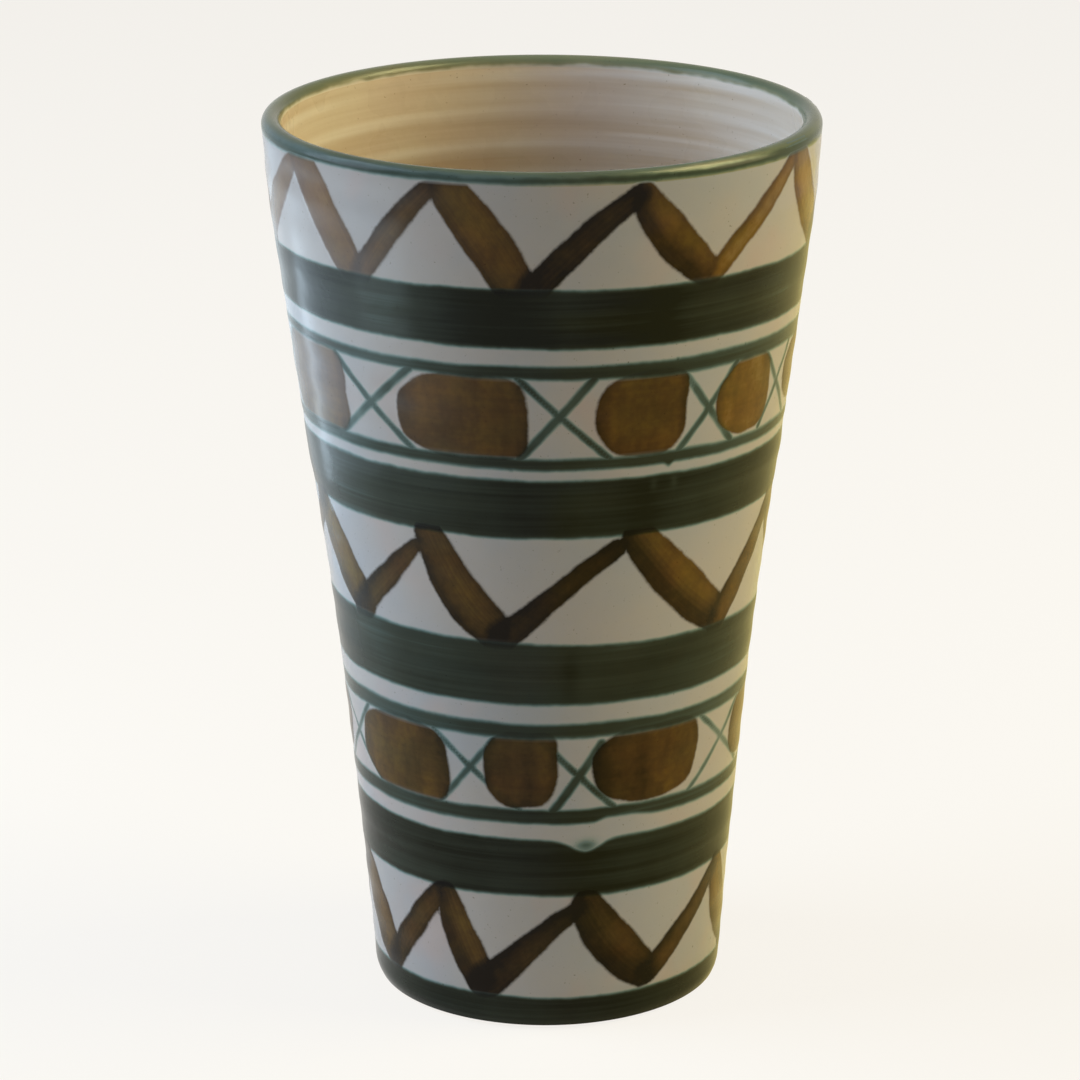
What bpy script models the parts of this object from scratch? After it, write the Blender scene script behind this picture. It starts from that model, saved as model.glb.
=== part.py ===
"""Cornet vase: a thrown clay body under a white glaze, painted with green bands, brown zigzags and ovals.

The vase stands on the XY plane with its axis on Z. Lengths are in metres. Angles round the wall are in
degrees from the front (-Y), growing towards the right (+X). Every coat lies over the one before it, so
each takes its place from the finished wall and from how deep it lies under that wall.
"""

import math
from bisect import bisect_right

import bmesh
import bpy

# Height of the vase, the radius of its finished wall at the table and at the rim, and the share of the flare
# between them that the wall has reached at three levels of the painting
HEIGHT = 0.2100
FOOT_RADIUS = 0.0412
RIM_RADIUS = 0.0643
LOWER_LATTICE_FLARE = 0.299
UPPER_LATTICE_FLARE = 0.645
COLLAR_FLARE = 0.883

# The painted registers from the table up, with the parts of the height that each takes
REGISTERS = (
    ("foot_band", 7.8),
    ("bottom_field", 26.3),
    ("green_band_4", 14.2),
    ("white_line_4", 4.2),
    ("thin_line_4", 3.5),
    ("lower_field", 17.9),
    ("thin_line_3", 3.6),
    ("white_line_3", 4.7),
    ("green_band_3", 14.9),
    ("middle_field", 26.0),
    ("green_band_2", 13.9),
    ("white_line_2", 2.6),
    ("thin_line_2", 2.7),
    ("upper_field", 18.5),
    ("thin_line_1", 3.0),
    ("white_line_1", 4.1),
    ("green_band_1", 13.3),
    ("top_field", 23.7),
    ("rim_band", 5.1),
)

# Thickness of each coat, and the gap that keeps neighbouring solids apart
PAINT_THICKNESS = 0.0003
GLAZE_THICKNESS = 0.0004
FIT_GAP = 0.0003

# Lip, wall and floor of the vessel
LIP_THICKNESS = 0.0050
BASE_WALL_THICKNESS = 0.0065
FLOOR_THICKNESS = 0.0080
FLOOR_CORNER_RADIUS = 0.0080
RIM_BAND_TURN = 165.0

# Foot: a bare edge under the coats, and a ring round a shallow hollow
BARE_EDGE_HEIGHT = 0.0012
FOOT_EDGE_RADIUS = 0.0010
FOOT_RING_WIDTH = 0.0080
FOOT_HOLLOW_DEPTH = 0.0025

# Brush strokes, measured square to their run
DOWN_STROKE_WIDTH = 0.0100
UP_STROKE_WIDTH = 0.0054
CROSS_STROKE_WIDTH = 0.0020

# Peaks and valleys of each zigzag in the order of painting, as far as one side shows them
TOP_TEETH = ((-58.0, -43.5), (-21.5, -5.0), (20.5, 35.0), (61.5, 79.0))
MIDDLE_TEETH = ((-73.0, -55.5), (-31.0, -12.5), (21.5, 48.0), (72.0, 96.0))
BOTTOM_TEETH = ((-76.5, -57.5), (-33.5, -20.5), (10.5, 33.0), (63.0, 84.0))
TOP_TOOTH_COUNT = 9
MIDDLE_TOOTH_COUNT = 7
BOTTOM_TOOTH_COUNT = 8
VALLEY_SHARE = 0.45

# Centres of the crosses, and the ovals between them as centre and half width
UPPER_CROSSES = (-41.5, 2.5, 40.0, 65.5)
LOWER_CROSSES = (-70.0, -21.5, 10.0, 61.0)
UPPER_CROSS_COUNT = 9
LOWER_CROSS_COUNT = 8
UPPER_OVALS = ((-18.5, 15.0), (22.2, 10.8), (52.5, 9.5))
LOWER_OVALS = ((-46.0, 17.5), (-7.0, 10.5), (30.2, 17.3))
CROSS_REACH = 7.5
OVAL_SHARE = 0.36
OVAL_SQUARENESS = 2.6

# Fineness of the solids
TURN_STEPS = 40
WALL_STEPS = 8
ARC_STEPS = 3
STROKE_STEPS = 5
OVAL_STEPS = 6
LINE_STEP = 360 / TURN_STEPS
OVAL_END = 80.0
WELD_DISTANCE = 0.00001

# Colour and roughness of each finish
CLAY_FINISH = ((0.58, 0.36, 0.23), 0.85)
WHITE_FINISH = ((0.45, 0.42, 0.38), 0.18)
GREEN_FINISH = ((0.035, 0.050, 0.034), 0.20)
BROWN_FINISH = ((0.095, 0.052, 0.024), 0.20)


def stacked(registers):
    """Lower and upper height of each register, by name."""
    part = HEIGHT / sum(parts for _, parts in registers)
    spans = {}
    level = 0.0
    for name, parts in registers:
        spans[name] = (level, level + parts * part)
        level += parts * part
    return spans


SPANS = stacked(REGISTERS)
LIP_RADIUS = LIP_THICKNESS / 2
LIP_LEVEL = HEIGHT - LIP_RADIUS

# How deep each coat's underside, and the clay, lie under the finished wall
PAINT_DEPTH = PAINT_THICKNESS
GLAZE_DEPTH = PAINT_DEPTH + FIT_GAP + GLAZE_THICKNESS
CLAY_DEPTH = GLAZE_DEPTH + FIT_GAP

FLARE = RIM_RADIUS - FOOT_RADIUS
WALL_STATIONS = (
    (0.0, FOOT_RADIUS),
    (SPANS["thin_line_3"][1], FOOT_RADIUS + FLARE * LOWER_LATTICE_FLARE),
    (SPANS["thin_line_2"][0], FOOT_RADIUS + FLARE * UPPER_LATTICE_FLARE),
    (SPANS["green_band_1"][1], FOOT_RADIUS + FLARE * COLLAR_FLARE),
    (HEIGHT, RIM_RADIUS),
)


def station_slope(index):
    """Slope of the wall at one of its stations, from the stations on either side."""
    low_z, low_radius = WALL_STATIONS[max(index - 1, 0)]
    high_z, high_radius = WALL_STATIONS[min(index + 1, len(WALL_STATIONS) - 1)]
    return (high_radius - low_radius) / (high_z - low_z)


def wall_radius(z):
    """Radius of the finished wall at a height, on a smooth curve through the stations."""
    heights = [station[0] for station in WALL_STATIONS]
    index = min(max(bisect_right(heights, z) - 1, 0), len(heights) - 2)
    low_z, low_radius = WALL_STATIONS[index]
    high_z, high_radius = WALL_STATIONS[index + 1]
    run = high_z - low_z
    s = (z - low_z) / run
    rise = high_radius - low_radius
    start_pull = station_slope(index) * run - rise
    end_pull = rise - station_slope(index + 1) * run
    return low_radius + rise * s + s * (1 - s) * (start_pull * (1 - s) + end_pull * s)


def clay_thickness(z):
    """Thickness of the clay wall, which tapers from the floor to the lip."""
    lip = LIP_THICKNESS - 2 * CLAY_DEPTH
    share = (z - FLOOR_THICKNESS) / (LIP_LEVEL - FLOOR_THICKNESS)
    return BASE_WALL_THICKNESS + (lip - BASE_WALL_THICKNESS) * share


def inner_radius(z, lining):
    """Radius of the inside at a height, drawn in by the thickness of a lining over the clay."""
    return wall_radius(z) - CLAY_DEPTH - clay_thickness(z) - lining


def steps(start, end, count):
    """Evenly spaced values from start to end, both kept."""
    return [start + (end - start) * i / count for i in range(count + 1)]


def lip_arc(depth, start, end):
    """Points round the lip, from one angle to another, 0 outwards and 90 upwards."""
    radius = LIP_RADIUS - depth
    centre = wall_radius(LIP_LEVEL) - LIP_RADIUS
    turns = [math.radians(angle) for angle in steps(start, end, 2 * ARC_STEPS)]
    return [(centre + radius * math.cos(turn), LIP_LEVEL + radius * math.sin(turn)) for turn in turns]


def outer_wall(top, bottom, depth, count):
    """Points down the outside from one height to another."""
    return [(wall_radius(z) - depth, z) for z in steps(top, bottom, count)]


def inside_points(lining):
    """Points from the middle of the floor, round its corner and up the inside to the lip."""
    floor = FLOOR_THICKNESS + lining
    corner = FLOOR_CORNER_RADIUS - lining
    level = floor + corner
    centre = inner_radius(level, lining) - corner
    turns = [math.radians(angle) for angle in steps(-90, 0, ARC_STEPS)]
    points = [(0.0, floor)]
    points += [(centre + corner * math.cos(turn), level + corner * math.sin(turn)) for turn in turns]
    points += [(inner_radius(z, lining), z) for z in steps(level, LIP_LEVEL, WALL_STEPS)[1:-1]]
    return points


def foot_points():
    """Points round the outer edge of the foot, across its ring and up into the hollow under the floor."""
    outer = wall_radius(FOOT_EDGE_RADIUS) - CLAY_DEPTH
    centre = outer - FOOT_EDGE_RADIUS
    turns = [math.radians(angle) for angle in steps(0, -90, ARC_STEPS)]
    points = [
        (centre + FOOT_EDGE_RADIUS * math.cos(turn), FOOT_EDGE_RADIUS * (1 + math.sin(turn))) for turn in turns
    ]
    ring = outer - FOOT_RING_WIDTH
    return points + [(ring, 0.0), (ring - FOOT_HOLLOW_DEPTH, FOOT_HOLLOW_DEPTH), (0.0, FOOT_HOLLOW_DEPTH)]


def add_object(name, mesh, material):
    """Links a mesh to the vase's collection under its own name."""
    obj = bpy.data.objects.new(name, mesh)
    mesh.materials.append(material)
    obj.parent = axis
    collection.objects.link(obj)
    return obj


def turned(name, material, profile):
    """A profile of (radius, height) points turned round the axis."""
    mesh = bpy.data.meshes.new(name)
    edges = [(i, i + 1) for i in range(len(profile) - 1)]
    mesh.from_pydata([(radius, 0.0, z) for radius, z in profile], edges, [])
    obj = add_object(name, mesh, material)
    screw = obj.modifiers.new("turn", "SCREW")
    screw.steps = TURN_STEPS
    screw.render_steps = TURN_STEPS
    screw.use_merge_vertices = True
    screw.merge_threshold = WELD_DISTANCE
    return obj


def thicken(obj, thickness):
    """Gives an open sheet its thickness on the side that it faces."""
    solidify = obj.modifiers.new("coat", "SOLIDIFY")
    solidify.thickness = thickness
    solidify.offset = 1.0


def wrapped(angle, z, depth):
    """Point at an angle and a height, a depth under the finished wall."""
    radius = wall_radius(z) - depth
    turn = math.radians(angle)
    return (radius * math.sin(turn), -radius * math.cos(turn), z)


def painted(name, material, cells):
    """One mark of paint: cells of (angle, height) corners wrapped on the wall and thickened outwards."""
    sheet = bmesh.new()
    corners = {}
    for cell in cells:
        loop = []
        for angle, z in cell:
            key = (round(angle % 360, 6) % 360, round(z, 9))
            if key not in corners:
                corners[key] = sheet.verts.new(wrapped(angle, z, PAINT_DEPTH))
            loop.append(corners[key])
        sheet.faces.new(loop)
    mesh = bpy.data.meshes.new(name)
    sheet.to_mesh(mesh)
    sheet.free()
    mesh.shade_smooth()
    obj = add_object(name, mesh, material)
    thicken(obj, PAINT_THICKNESS)
    return obj


def strip_cells(columns):
    """Cells between neighbouring columns, each an angle with the lower and upper edge of the paint there."""
    cells = []
    for (left, left_low, left_high), (right, right_low, right_high) in zip(columns, columns[1:]):
        cells.append(((left, left_low), (right, right_low), (right, right_high), (left, left_high)))
    return cells


def degrees_of(length, z):
    """Angle that a length round the wall takes up at a height."""
    return math.degrees(length / wall_radius(z))


def all_round(seen, count):
    """Angles of a motif right round the vase: those seen, then the others evenly spaced behind."""
    step = (seen[0] + 360 - seen[-1]) / (count - len(seen) + 1)
    return list(seen) + [seen[-1] + step * (i + 1) for i in range(count - len(seen))]


def zigzag_strokes(teeth, count, low, high):
    """Every stroke of a zigzag as its left end, its right end and its width, right round the vase."""
    peaks = all_round([peak for peak, _ in teeth], count)
    peaks.append(peaks[0] + 360)
    valleys = [valley for _, valley in teeth]
    for left, right in list(zip(peaks, peaks[1:]))[len(teeth):]:
        valleys.append(left + (right - left) * VALLEY_SHARE)
    strokes = []
    for peak, valley, next_peak in zip(peaks, valleys, peaks[1:]):
        strokes.append(((peak, high), (valley, low), DOWN_STROKE_WIDTH))
        strokes.append(((valley, low), (next_peak, high), UP_STROKE_WIDTH))
    return strokes


def stroke_edges(stroke, angle, middle):
    """Lower and upper edge of one stroke, drawn on past its ends, at an angle."""
    (left, left_z), (right, right_z), width = stroke
    run = math.radians(right - left) * wall_radius(middle)
    rise = right_z - left_z
    half = width / 2 * math.hypot(run, rise) / run
    centre = left_z + rise * (angle - left) / (right - left)
    return centre - half, centre + half


def zigzag_columns(teeth, count, span):
    """Columns of a zigzag that fills its field, from the edges of each stroke and its neighbours."""
    low = span[0] + FIT_GAP
    high = span[1] - FIT_GAP
    middle = (low + high) / 2
    strokes = zigzag_strokes(teeth, count, low, high)
    columns = []
    for index, stroke in enumerate(strokes):
        before = strokes[index - 1]
        after = strokes[(index + 1) % len(strokes)]
        for angle in steps(stroke[0][0], stroke[1][0], STROKE_STEPS)[:-1]:
            before_turn = 360 if index == 0 else 0
            after_turn = 360 if index == len(strokes) - 1 else 0
            edges = [
                stroke_edges(before, angle + before_turn, middle),
                stroke_edges(stroke, angle, middle),
                stroke_edges(after, angle - after_turn, middle),
            ]
            inside = [edge for edge in edges if edge[0] < high and edge[1] > low]
            lower = max(low, min(edge[0] for edge in inside))
            upper = min(high, max(edge[1] for edge in inside))
            columns.append((angle, lower, upper))
    first = columns[0]
    return columns + [(first[0] + 360, first[1], first[2])]


def cross_half_width(low, high):
    """Half the width of a cross's stroke, along the wall, as an angle."""
    middle = (low + high) / 2
    reach = math.radians(CROSS_REACH) * wall_radius(middle)
    rise = (high - low) / 2
    return degrees_of(CROSS_STROKE_WIDTH / 2 * math.hypot(reach, rise) / rise, middle)


def arm_cells(ring_edge, centre_edge):
    """Cells of one arm of a cross, from its edge on a line to its edge at the cross's middle."""
    (left, right), (inner_left, inner_right) = ring_edge, centre_edge
    half_left = ((left[0] + inner_left[0]) / 2, (left[1] + inner_left[1]) / 2)
    half_right = ((right[0] + inner_right[0]) / 2, (right[1] + inner_right[1]) / 2)
    return [(left, right, half_right, half_left), (half_left, half_right, inner_right, inner_left)]


def cross_cells(centre, low, high):
    """Cells of one cross between the lines of a lattice."""
    half = cross_half_width(low, high)
    middle = (low + high) / 2
    notch = (high - low) / 2 * half / CROSS_REACH
    west, east = (centre - half, middle), (centre + half, middle)
    south, north = (centre, middle - notch), (centre, middle + notch)
    cells = [(west, south, east, north)]
    left_foot = [(centre - CROSS_REACH + side, low) for side in (-half, half)]
    right_foot = [(centre + CROSS_REACH + side, low) for side in (-half, half)]
    left_head = [(centre - CROSS_REACH + side, high) for side in (-half, half)]
    right_head = [(centre + CROSS_REACH + side, high) for side in (-half, half)]
    cells += arm_cells(left_foot, (west, south))
    cells += arm_cells(right_foot, (south, east))
    cells += arm_cells(right_head[::-1], (east, north))
    cells += arm_cells(left_head[::-1], (north, west))
    return cells


def line_cells(crosses, span, half):
    """Cells of one thin line, divided where the arms of the crosses meet it."""
    joints = [
        (cross + side * CROSS_REACH + edge) % 360 for cross in crosses for side in (-1, 1) for edge in (-half, half)
    ]
    joints.sort()
    joints.append(joints[0] + 360)
    angles = []
    for left, right in zip(joints, joints[1:]):
        angles += steps(left, right, math.ceil((right - left) / LINE_STEP))[:-1]
    angles.append(joints[-1])
    return strip_cells([(angle, span[0], span[1]) for angle in angles])


def lattice(name, crosses, lower_line, upper_line):
    """Two thin lines joined by crosses, painted as one net round the vase."""
    low, high = lower_line[1], upper_line[0]
    half = cross_half_width(low, high)
    cells = line_cells(crosses, lower_line, half) + line_cells(crosses, upper_line, half)
    for centre in crosses:
        cells += cross_cells(centre, low, high)
    painted(name, green, cells)


def oval_half_width(centre, left_cross, right_cross, wanted, low, high):
    """Half width of an oval, as wanted or as wide as clears the arms of the crosses beside it."""
    clear = degrees_of(2 * FIT_GAP, (low + high) / 2) + cross_half_width(low, high)
    room = min(centre - left_cross, right_cross - centre) - clear
    power = OVAL_SQUARENESS / (OVAL_SQUARENESS - 1)
    widest = (room**power - CROSS_REACH**power) ** (1 / power)
    return min(wanted, widest)


def oval_columns(centre, half, low, high):
    """Columns of one oval between two heights."""
    middle = (low + high) / 2
    columns = []
    for turn in steps(-OVAL_END, OVAL_END, OVAL_STEPS):
        across = math.sin(math.radians(turn))
        tall = (1 - abs(across) ** OVAL_SQUARENESS) ** (1 / OVAL_SQUARENESS) * (high - low) / 2
        columns.append((centre + half * across, middle - tall, middle + tall))
    return columns


def ovals(name, crosses, seen, span):
    """One oval between each cross and the next, the seen ones at their own places."""
    low = span[0] + FIT_GAP
    high = span[1] - FIT_GAP
    neighbours = crosses[1:] + [crosses[0] + 360]
    for index, (left, right) in enumerate(zip(crosses, neighbours)):
        centre, wanted = (left + right) / 2, (right - left) * OVAL_SHARE
        if index < len(seen):
            centre, wanted = seen[index]
        half = oval_half_width(centre, left, right, wanted, low, high)
        painted(f"{name}_{index + 1}", brown, strip_cells(oval_columns(centre, half, low, high)))


def make_material(name, finish):
    """A plain material with the colour and the roughness of a finish."""
    colour, roughness = finish
    material = bpy.data.materials.new(name)
    material.use_nodes = True
    shader = material.node_tree.nodes["Principled BSDF"]
    shader.inputs["Base Color"].default_value = (*colour, 1.0)
    shader.inputs["Roughness"].default_value = roughness
    shader.inputs["Metallic"].default_value = 0.0
    return material


def make_vessel():
    """The thrown clay, and the white glaze inside and outside."""
    lip = lip_arc(CLAY_DEPTH, 180, 0)
    outside = outer_wall(LIP_LEVEL, FOOT_EDGE_RADIUS, CLAY_DEPTH, WALL_STEPS)[1:-1]
    turned("clay_body", clay, inside_points(0.0) + lip + outside + foot_points())

    crown_gap = math.degrees(FIT_GAP / 2 / (LIP_RADIUS - GLAZE_DEPTH))
    lining = inside_points(FIT_GAP) + lip_arc(GLAZE_DEPTH, 180, 90 + crown_gap)
    thicken(turned("inside_glaze", white, lining), GLAZE_THICKNESS)

    wall = outer_wall(LIP_LEVEL, BARE_EDGE_HEIGHT, GLAZE_DEPTH, WALL_STEPS)[1:]
    cover = lip_arc(GLAZE_DEPTH, 90 - crown_gap, 0) + wall
    thicken(turned("outside_glaze", white, cover), GLAZE_THICKNESS)


def make_bands():
    """The green over the lip, the green at the foot and the four wide bands between."""
    rim = lip_arc(PAINT_DEPTH, RIM_BAND_TURN, 0) + outer_wall(LIP_LEVEL, SPANS["rim_band"][0], PAINT_DEPTH, 1)[1:]
    thicken(turned("rim_band", green, rim), PAINT_THICKNESS)
    foot = outer_wall(SPANS["foot_band"][1], BARE_EDGE_HEIGHT, PAINT_DEPTH, 1)
    thicken(turned("foot_band", green, foot), PAINT_THICKNESS)
    for name in ("green_band_1", "green_band_2", "green_band_3", "green_band_4"):
        low, high = SPANS[name]
        thicken(turned(name, green, outer_wall(high, low, PAINT_DEPTH, 1)), PAINT_THICKNESS)


def make_zigzags():
    """The three brown zigzags on their white fields."""
    for place, teeth, count in (
        ("top", TOP_TEETH, TOP_TOOTH_COUNT),
        ("middle", MIDDLE_TEETH, MIDDLE_TOOTH_COUNT),
        ("bottom", BOTTOM_TEETH, BOTTOM_TOOTH_COUNT),
    ):
        columns = zigzag_columns(teeth, count, SPANS[f"{place}_field"])
        painted(f"zigzag_{place}", brown, strip_cells(columns))


def make_lattices():
    """The two registers of green lines and crosses, with brown ovals between the crosses."""
    upper = all_round(UPPER_CROSSES, UPPER_CROSS_COUNT)
    lower = all_round(LOWER_CROSSES, LOWER_CROSS_COUNT)
    lattice("lattice_upper", upper, SPANS["thin_line_2"], SPANS["thin_line_1"])
    lattice("lattice_lower", lower, SPANS["thin_line_4"], SPANS["thin_line_3"])
    ovals("oval_upper", upper, UPPER_OVALS, SPANS["upper_field"])
    ovals("oval_lower", lower, LOWER_OVALS, SPANS["lower_field"])


for old in list(bpy.data.objects):
    bpy.data.objects.remove(old, do_unlink=True)

collection = bpy.data.collections.new("Cornet vase")
bpy.context.scene.collection.children.link(collection)
axis = bpy.data.objects.new("vase_axis", None)
collection.objects.link(axis)

clay = make_material("bare clay", CLAY_FINISH)
white = make_material("white glaze", WHITE_FINISH)
green = make_material("copper green", GREEN_FINISH)
brown = make_material("iron brown", BROWN_FINISH)

make_vessel()
make_bands()
make_zigzags()
make_lattices()
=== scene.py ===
"""Looks of the cornet vase: thrown clay under a glossy white glaze, with green bands and brown marks.

Sizes are in millimetres until a mesh is made, and angles in degrees from the front (-Y), growing to the
right (+X). Every painted mark is a thin film that rises out of the white coat. The colour of the white and
of the green stripes is worked out from the place on the wall in the same way on every film, so no film
shows a border.
"""

import logging
import math
from dataclasses import dataclass
from enum import Enum
from typing import Any, Mapping, Optional, Sequence, Union

import bpy
import numpy as np
from mathutils import Matrix, Vector

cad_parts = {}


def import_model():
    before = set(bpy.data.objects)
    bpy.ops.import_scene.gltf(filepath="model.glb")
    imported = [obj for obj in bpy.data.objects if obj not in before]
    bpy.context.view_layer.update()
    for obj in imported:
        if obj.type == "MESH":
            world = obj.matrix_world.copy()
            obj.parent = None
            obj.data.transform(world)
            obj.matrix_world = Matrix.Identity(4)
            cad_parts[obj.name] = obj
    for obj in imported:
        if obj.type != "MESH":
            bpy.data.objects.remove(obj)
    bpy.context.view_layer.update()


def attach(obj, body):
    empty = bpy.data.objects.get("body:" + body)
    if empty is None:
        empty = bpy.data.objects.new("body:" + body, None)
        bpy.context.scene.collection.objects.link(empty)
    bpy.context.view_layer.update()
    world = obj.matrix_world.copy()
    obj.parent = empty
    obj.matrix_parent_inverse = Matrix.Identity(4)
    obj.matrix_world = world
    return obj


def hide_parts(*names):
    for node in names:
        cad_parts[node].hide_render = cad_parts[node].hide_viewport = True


LOG = logging.getLogger("cornet_vase")

MM = 0.001
BODY = "root"
FAR_OUTSIDE = -1e6
LEAST_WEIGHT = 1e-9

Colour = tuple[float, float, float, float]
# The middle and the width of a soft bump.
Bump = tuple[float, float]
Stops = Sequence[tuple[float, Colour]]
Span = tuple[float, float]
Value = Union["Flow", float, Sequence[float]]
Number = Union[float, np.ndarray]
Places = tuple[np.ndarray, np.ndarray]
Measures = tuple[np.ndarray, np.ndarray, np.ndarray]

NO_STAIN: Colour = (1.0, 1.0, 1.0, 1.0)

# The sockets of a Mix node that take and give colours.
MIX_FIRST = 6
MIX_SECOND = 7
MIX_RESULT = 2


def shade(red: float, green: float, blue: float) -> Colour:
    """Linear colour of a screen colour.

    Args:
        red: red from 0 to 255.
        green: green from 0 to 255.
        blue: blue from 0 to 255.

    Returns:
        The colour as a shader takes it.
    """
    parts = [part / 255 for part in (red, green, blue)]
    linear = [part / 12.92 if part <= 0.04045 else ((part + 0.055) / 1.055) ** 2.4 for part in parts]
    return (linear[0], linear[1], linear[2], 1.0)


def smooth_step(value: np.ndarray, low: float, high: float) -> np.ndarray:
    """Soft rise from 0 to 1.

    Args:
        value: what is compared with the limits.
        low: where the rise starts.
        high: where the rise ends.

    Returns:
        The rise at each value.
    """
    share = np.clip((value - low) / (high - low), 0.0, 1.0)
    return share * share * (3 - 2 * share)


def bent(first: Number, middle: Number, last: Number, share: np.ndarray) -> np.ndarray:
    """Smooth run from a first value over a middle one to a last.

    Args:
        first: the value at the start.
        middle: the value half way.
        last: the value at the end.
        share: share of the run.

    Returns:
        The value at each share.
    """
    control = 2 * middle - (first + last) / 2
    return first * (1 - share) ** 2 + 2 * control * share * (1 - share) + last * share**2


def turns(columns: int) -> np.ndarray:
    """Angles of the columns of a piece that runs right round."""
    return np.linspace(-180.0, 180.0, columns, endpoint=False)


def column(start: float, end: float, count: int) -> np.ndarray:
    """Even steps, one to a row."""
    return np.linspace(start, end, count)[:, None]


def all_round(rows: np.ndarray, turn: np.ndarray) -> np.ndarray:
    """A value of each row, repeated at every angle."""
    return np.broadcast_to(rows, (len(rows), len(turn)))


def turned_from(centre: float, turn: np.ndarray) -> np.ndarray:
    """Angles counted from a centre, the shorter way round."""
    return (turn - centre + 180.0) % 360.0 - 180.0


def placed(turn: np.ndarray, radius: np.ndarray, height: np.ndarray) -> np.ndarray:
    """Points in metres.

    Args:
        turn: angle of each place or of each column.
        radius: radius of each place.
        height: height of each place.

    Returns:
        The points, in the shape of the places with a last axis of x, y and z.
    """
    angle = np.radians(turn)
    return np.stack([radius * np.sin(angle), -radius * np.cos(angle), height], axis=-1) * MM


class Flow:
    """One output of a node, which works like a number in an expression."""

    def __init__(self, recipe: "Recipe", socket: bpy.types.NodeSocket) -> None:
        """Keeps the output and the recipe that it belongs to."""
        self.recipe = recipe
        self.socket = socket

    def other(self, name: str) -> "Flow":
        """Another output of the same node."""
        return Flow(self.recipe, self.socket.node.outputs[name])

    def worked(self, operation: str, *values: Value) -> "Flow":
        """Result of a Math node on these values."""
        return self.recipe.node("ShaderNodeMath", {"operation": operation}, dict(enumerate(values)))

    def __add__(self, value: Value) -> "Flow":
        """Sum with a value."""
        return self.worked("ADD", self, value)

    def __radd__(self, value: Value) -> "Flow":
        """Sum with a value on the left."""
        return self.worked("ADD", value, self)

    def __sub__(self, value: Value) -> "Flow":
        """Difference from a value."""
        return self.worked("SUBTRACT", self, value)

    def __rsub__(self, value: Value) -> "Flow":
        """What is left of a value."""
        return self.worked("SUBTRACT", value, self)

    def __mul__(self, value: Value) -> "Flow":
        """Product with a value."""
        return self.worked("MULTIPLY", self, value)

    def __rmul__(self, value: Value) -> "Flow":
        """Product with a value on the left."""
        return self.worked("MULTIPLY", value, self)

    def __truediv__(self, value: Value) -> "Flow":
        """Share of a value."""
        return self.worked("DIVIDE", self, value)

    def __rtruediv__(self, value: Value) -> "Flow":
        """A value shared out."""
        return self.worked("DIVIDE", value, self)

    def __rpow__(self, value: Value) -> "Flow":
        """A value raised to this power."""
        return self.worked("POWER", value, self)

    def largest(self, value: Value) -> "Flow":
        """The larger of this and a value."""
        return self.worked("MAXIMUM", self, value)

    def rise(self, low: float, high: float) -> "Flow":
        """Soft rise from 0 at one value to 1 at another."""
        settings = {"interpolation_type": "SMOOTHSTEP"}
        return self.recipe.node("ShaderNodeMapRange", settings, {0: self, 1: low, 2: high})

    def bell(self, middle: float, width: float) -> "Flow":
        """Soft bump of height 1 round a value."""
        offset = (self - middle) / width
        return math.e ** (0 - offset * offset)


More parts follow.
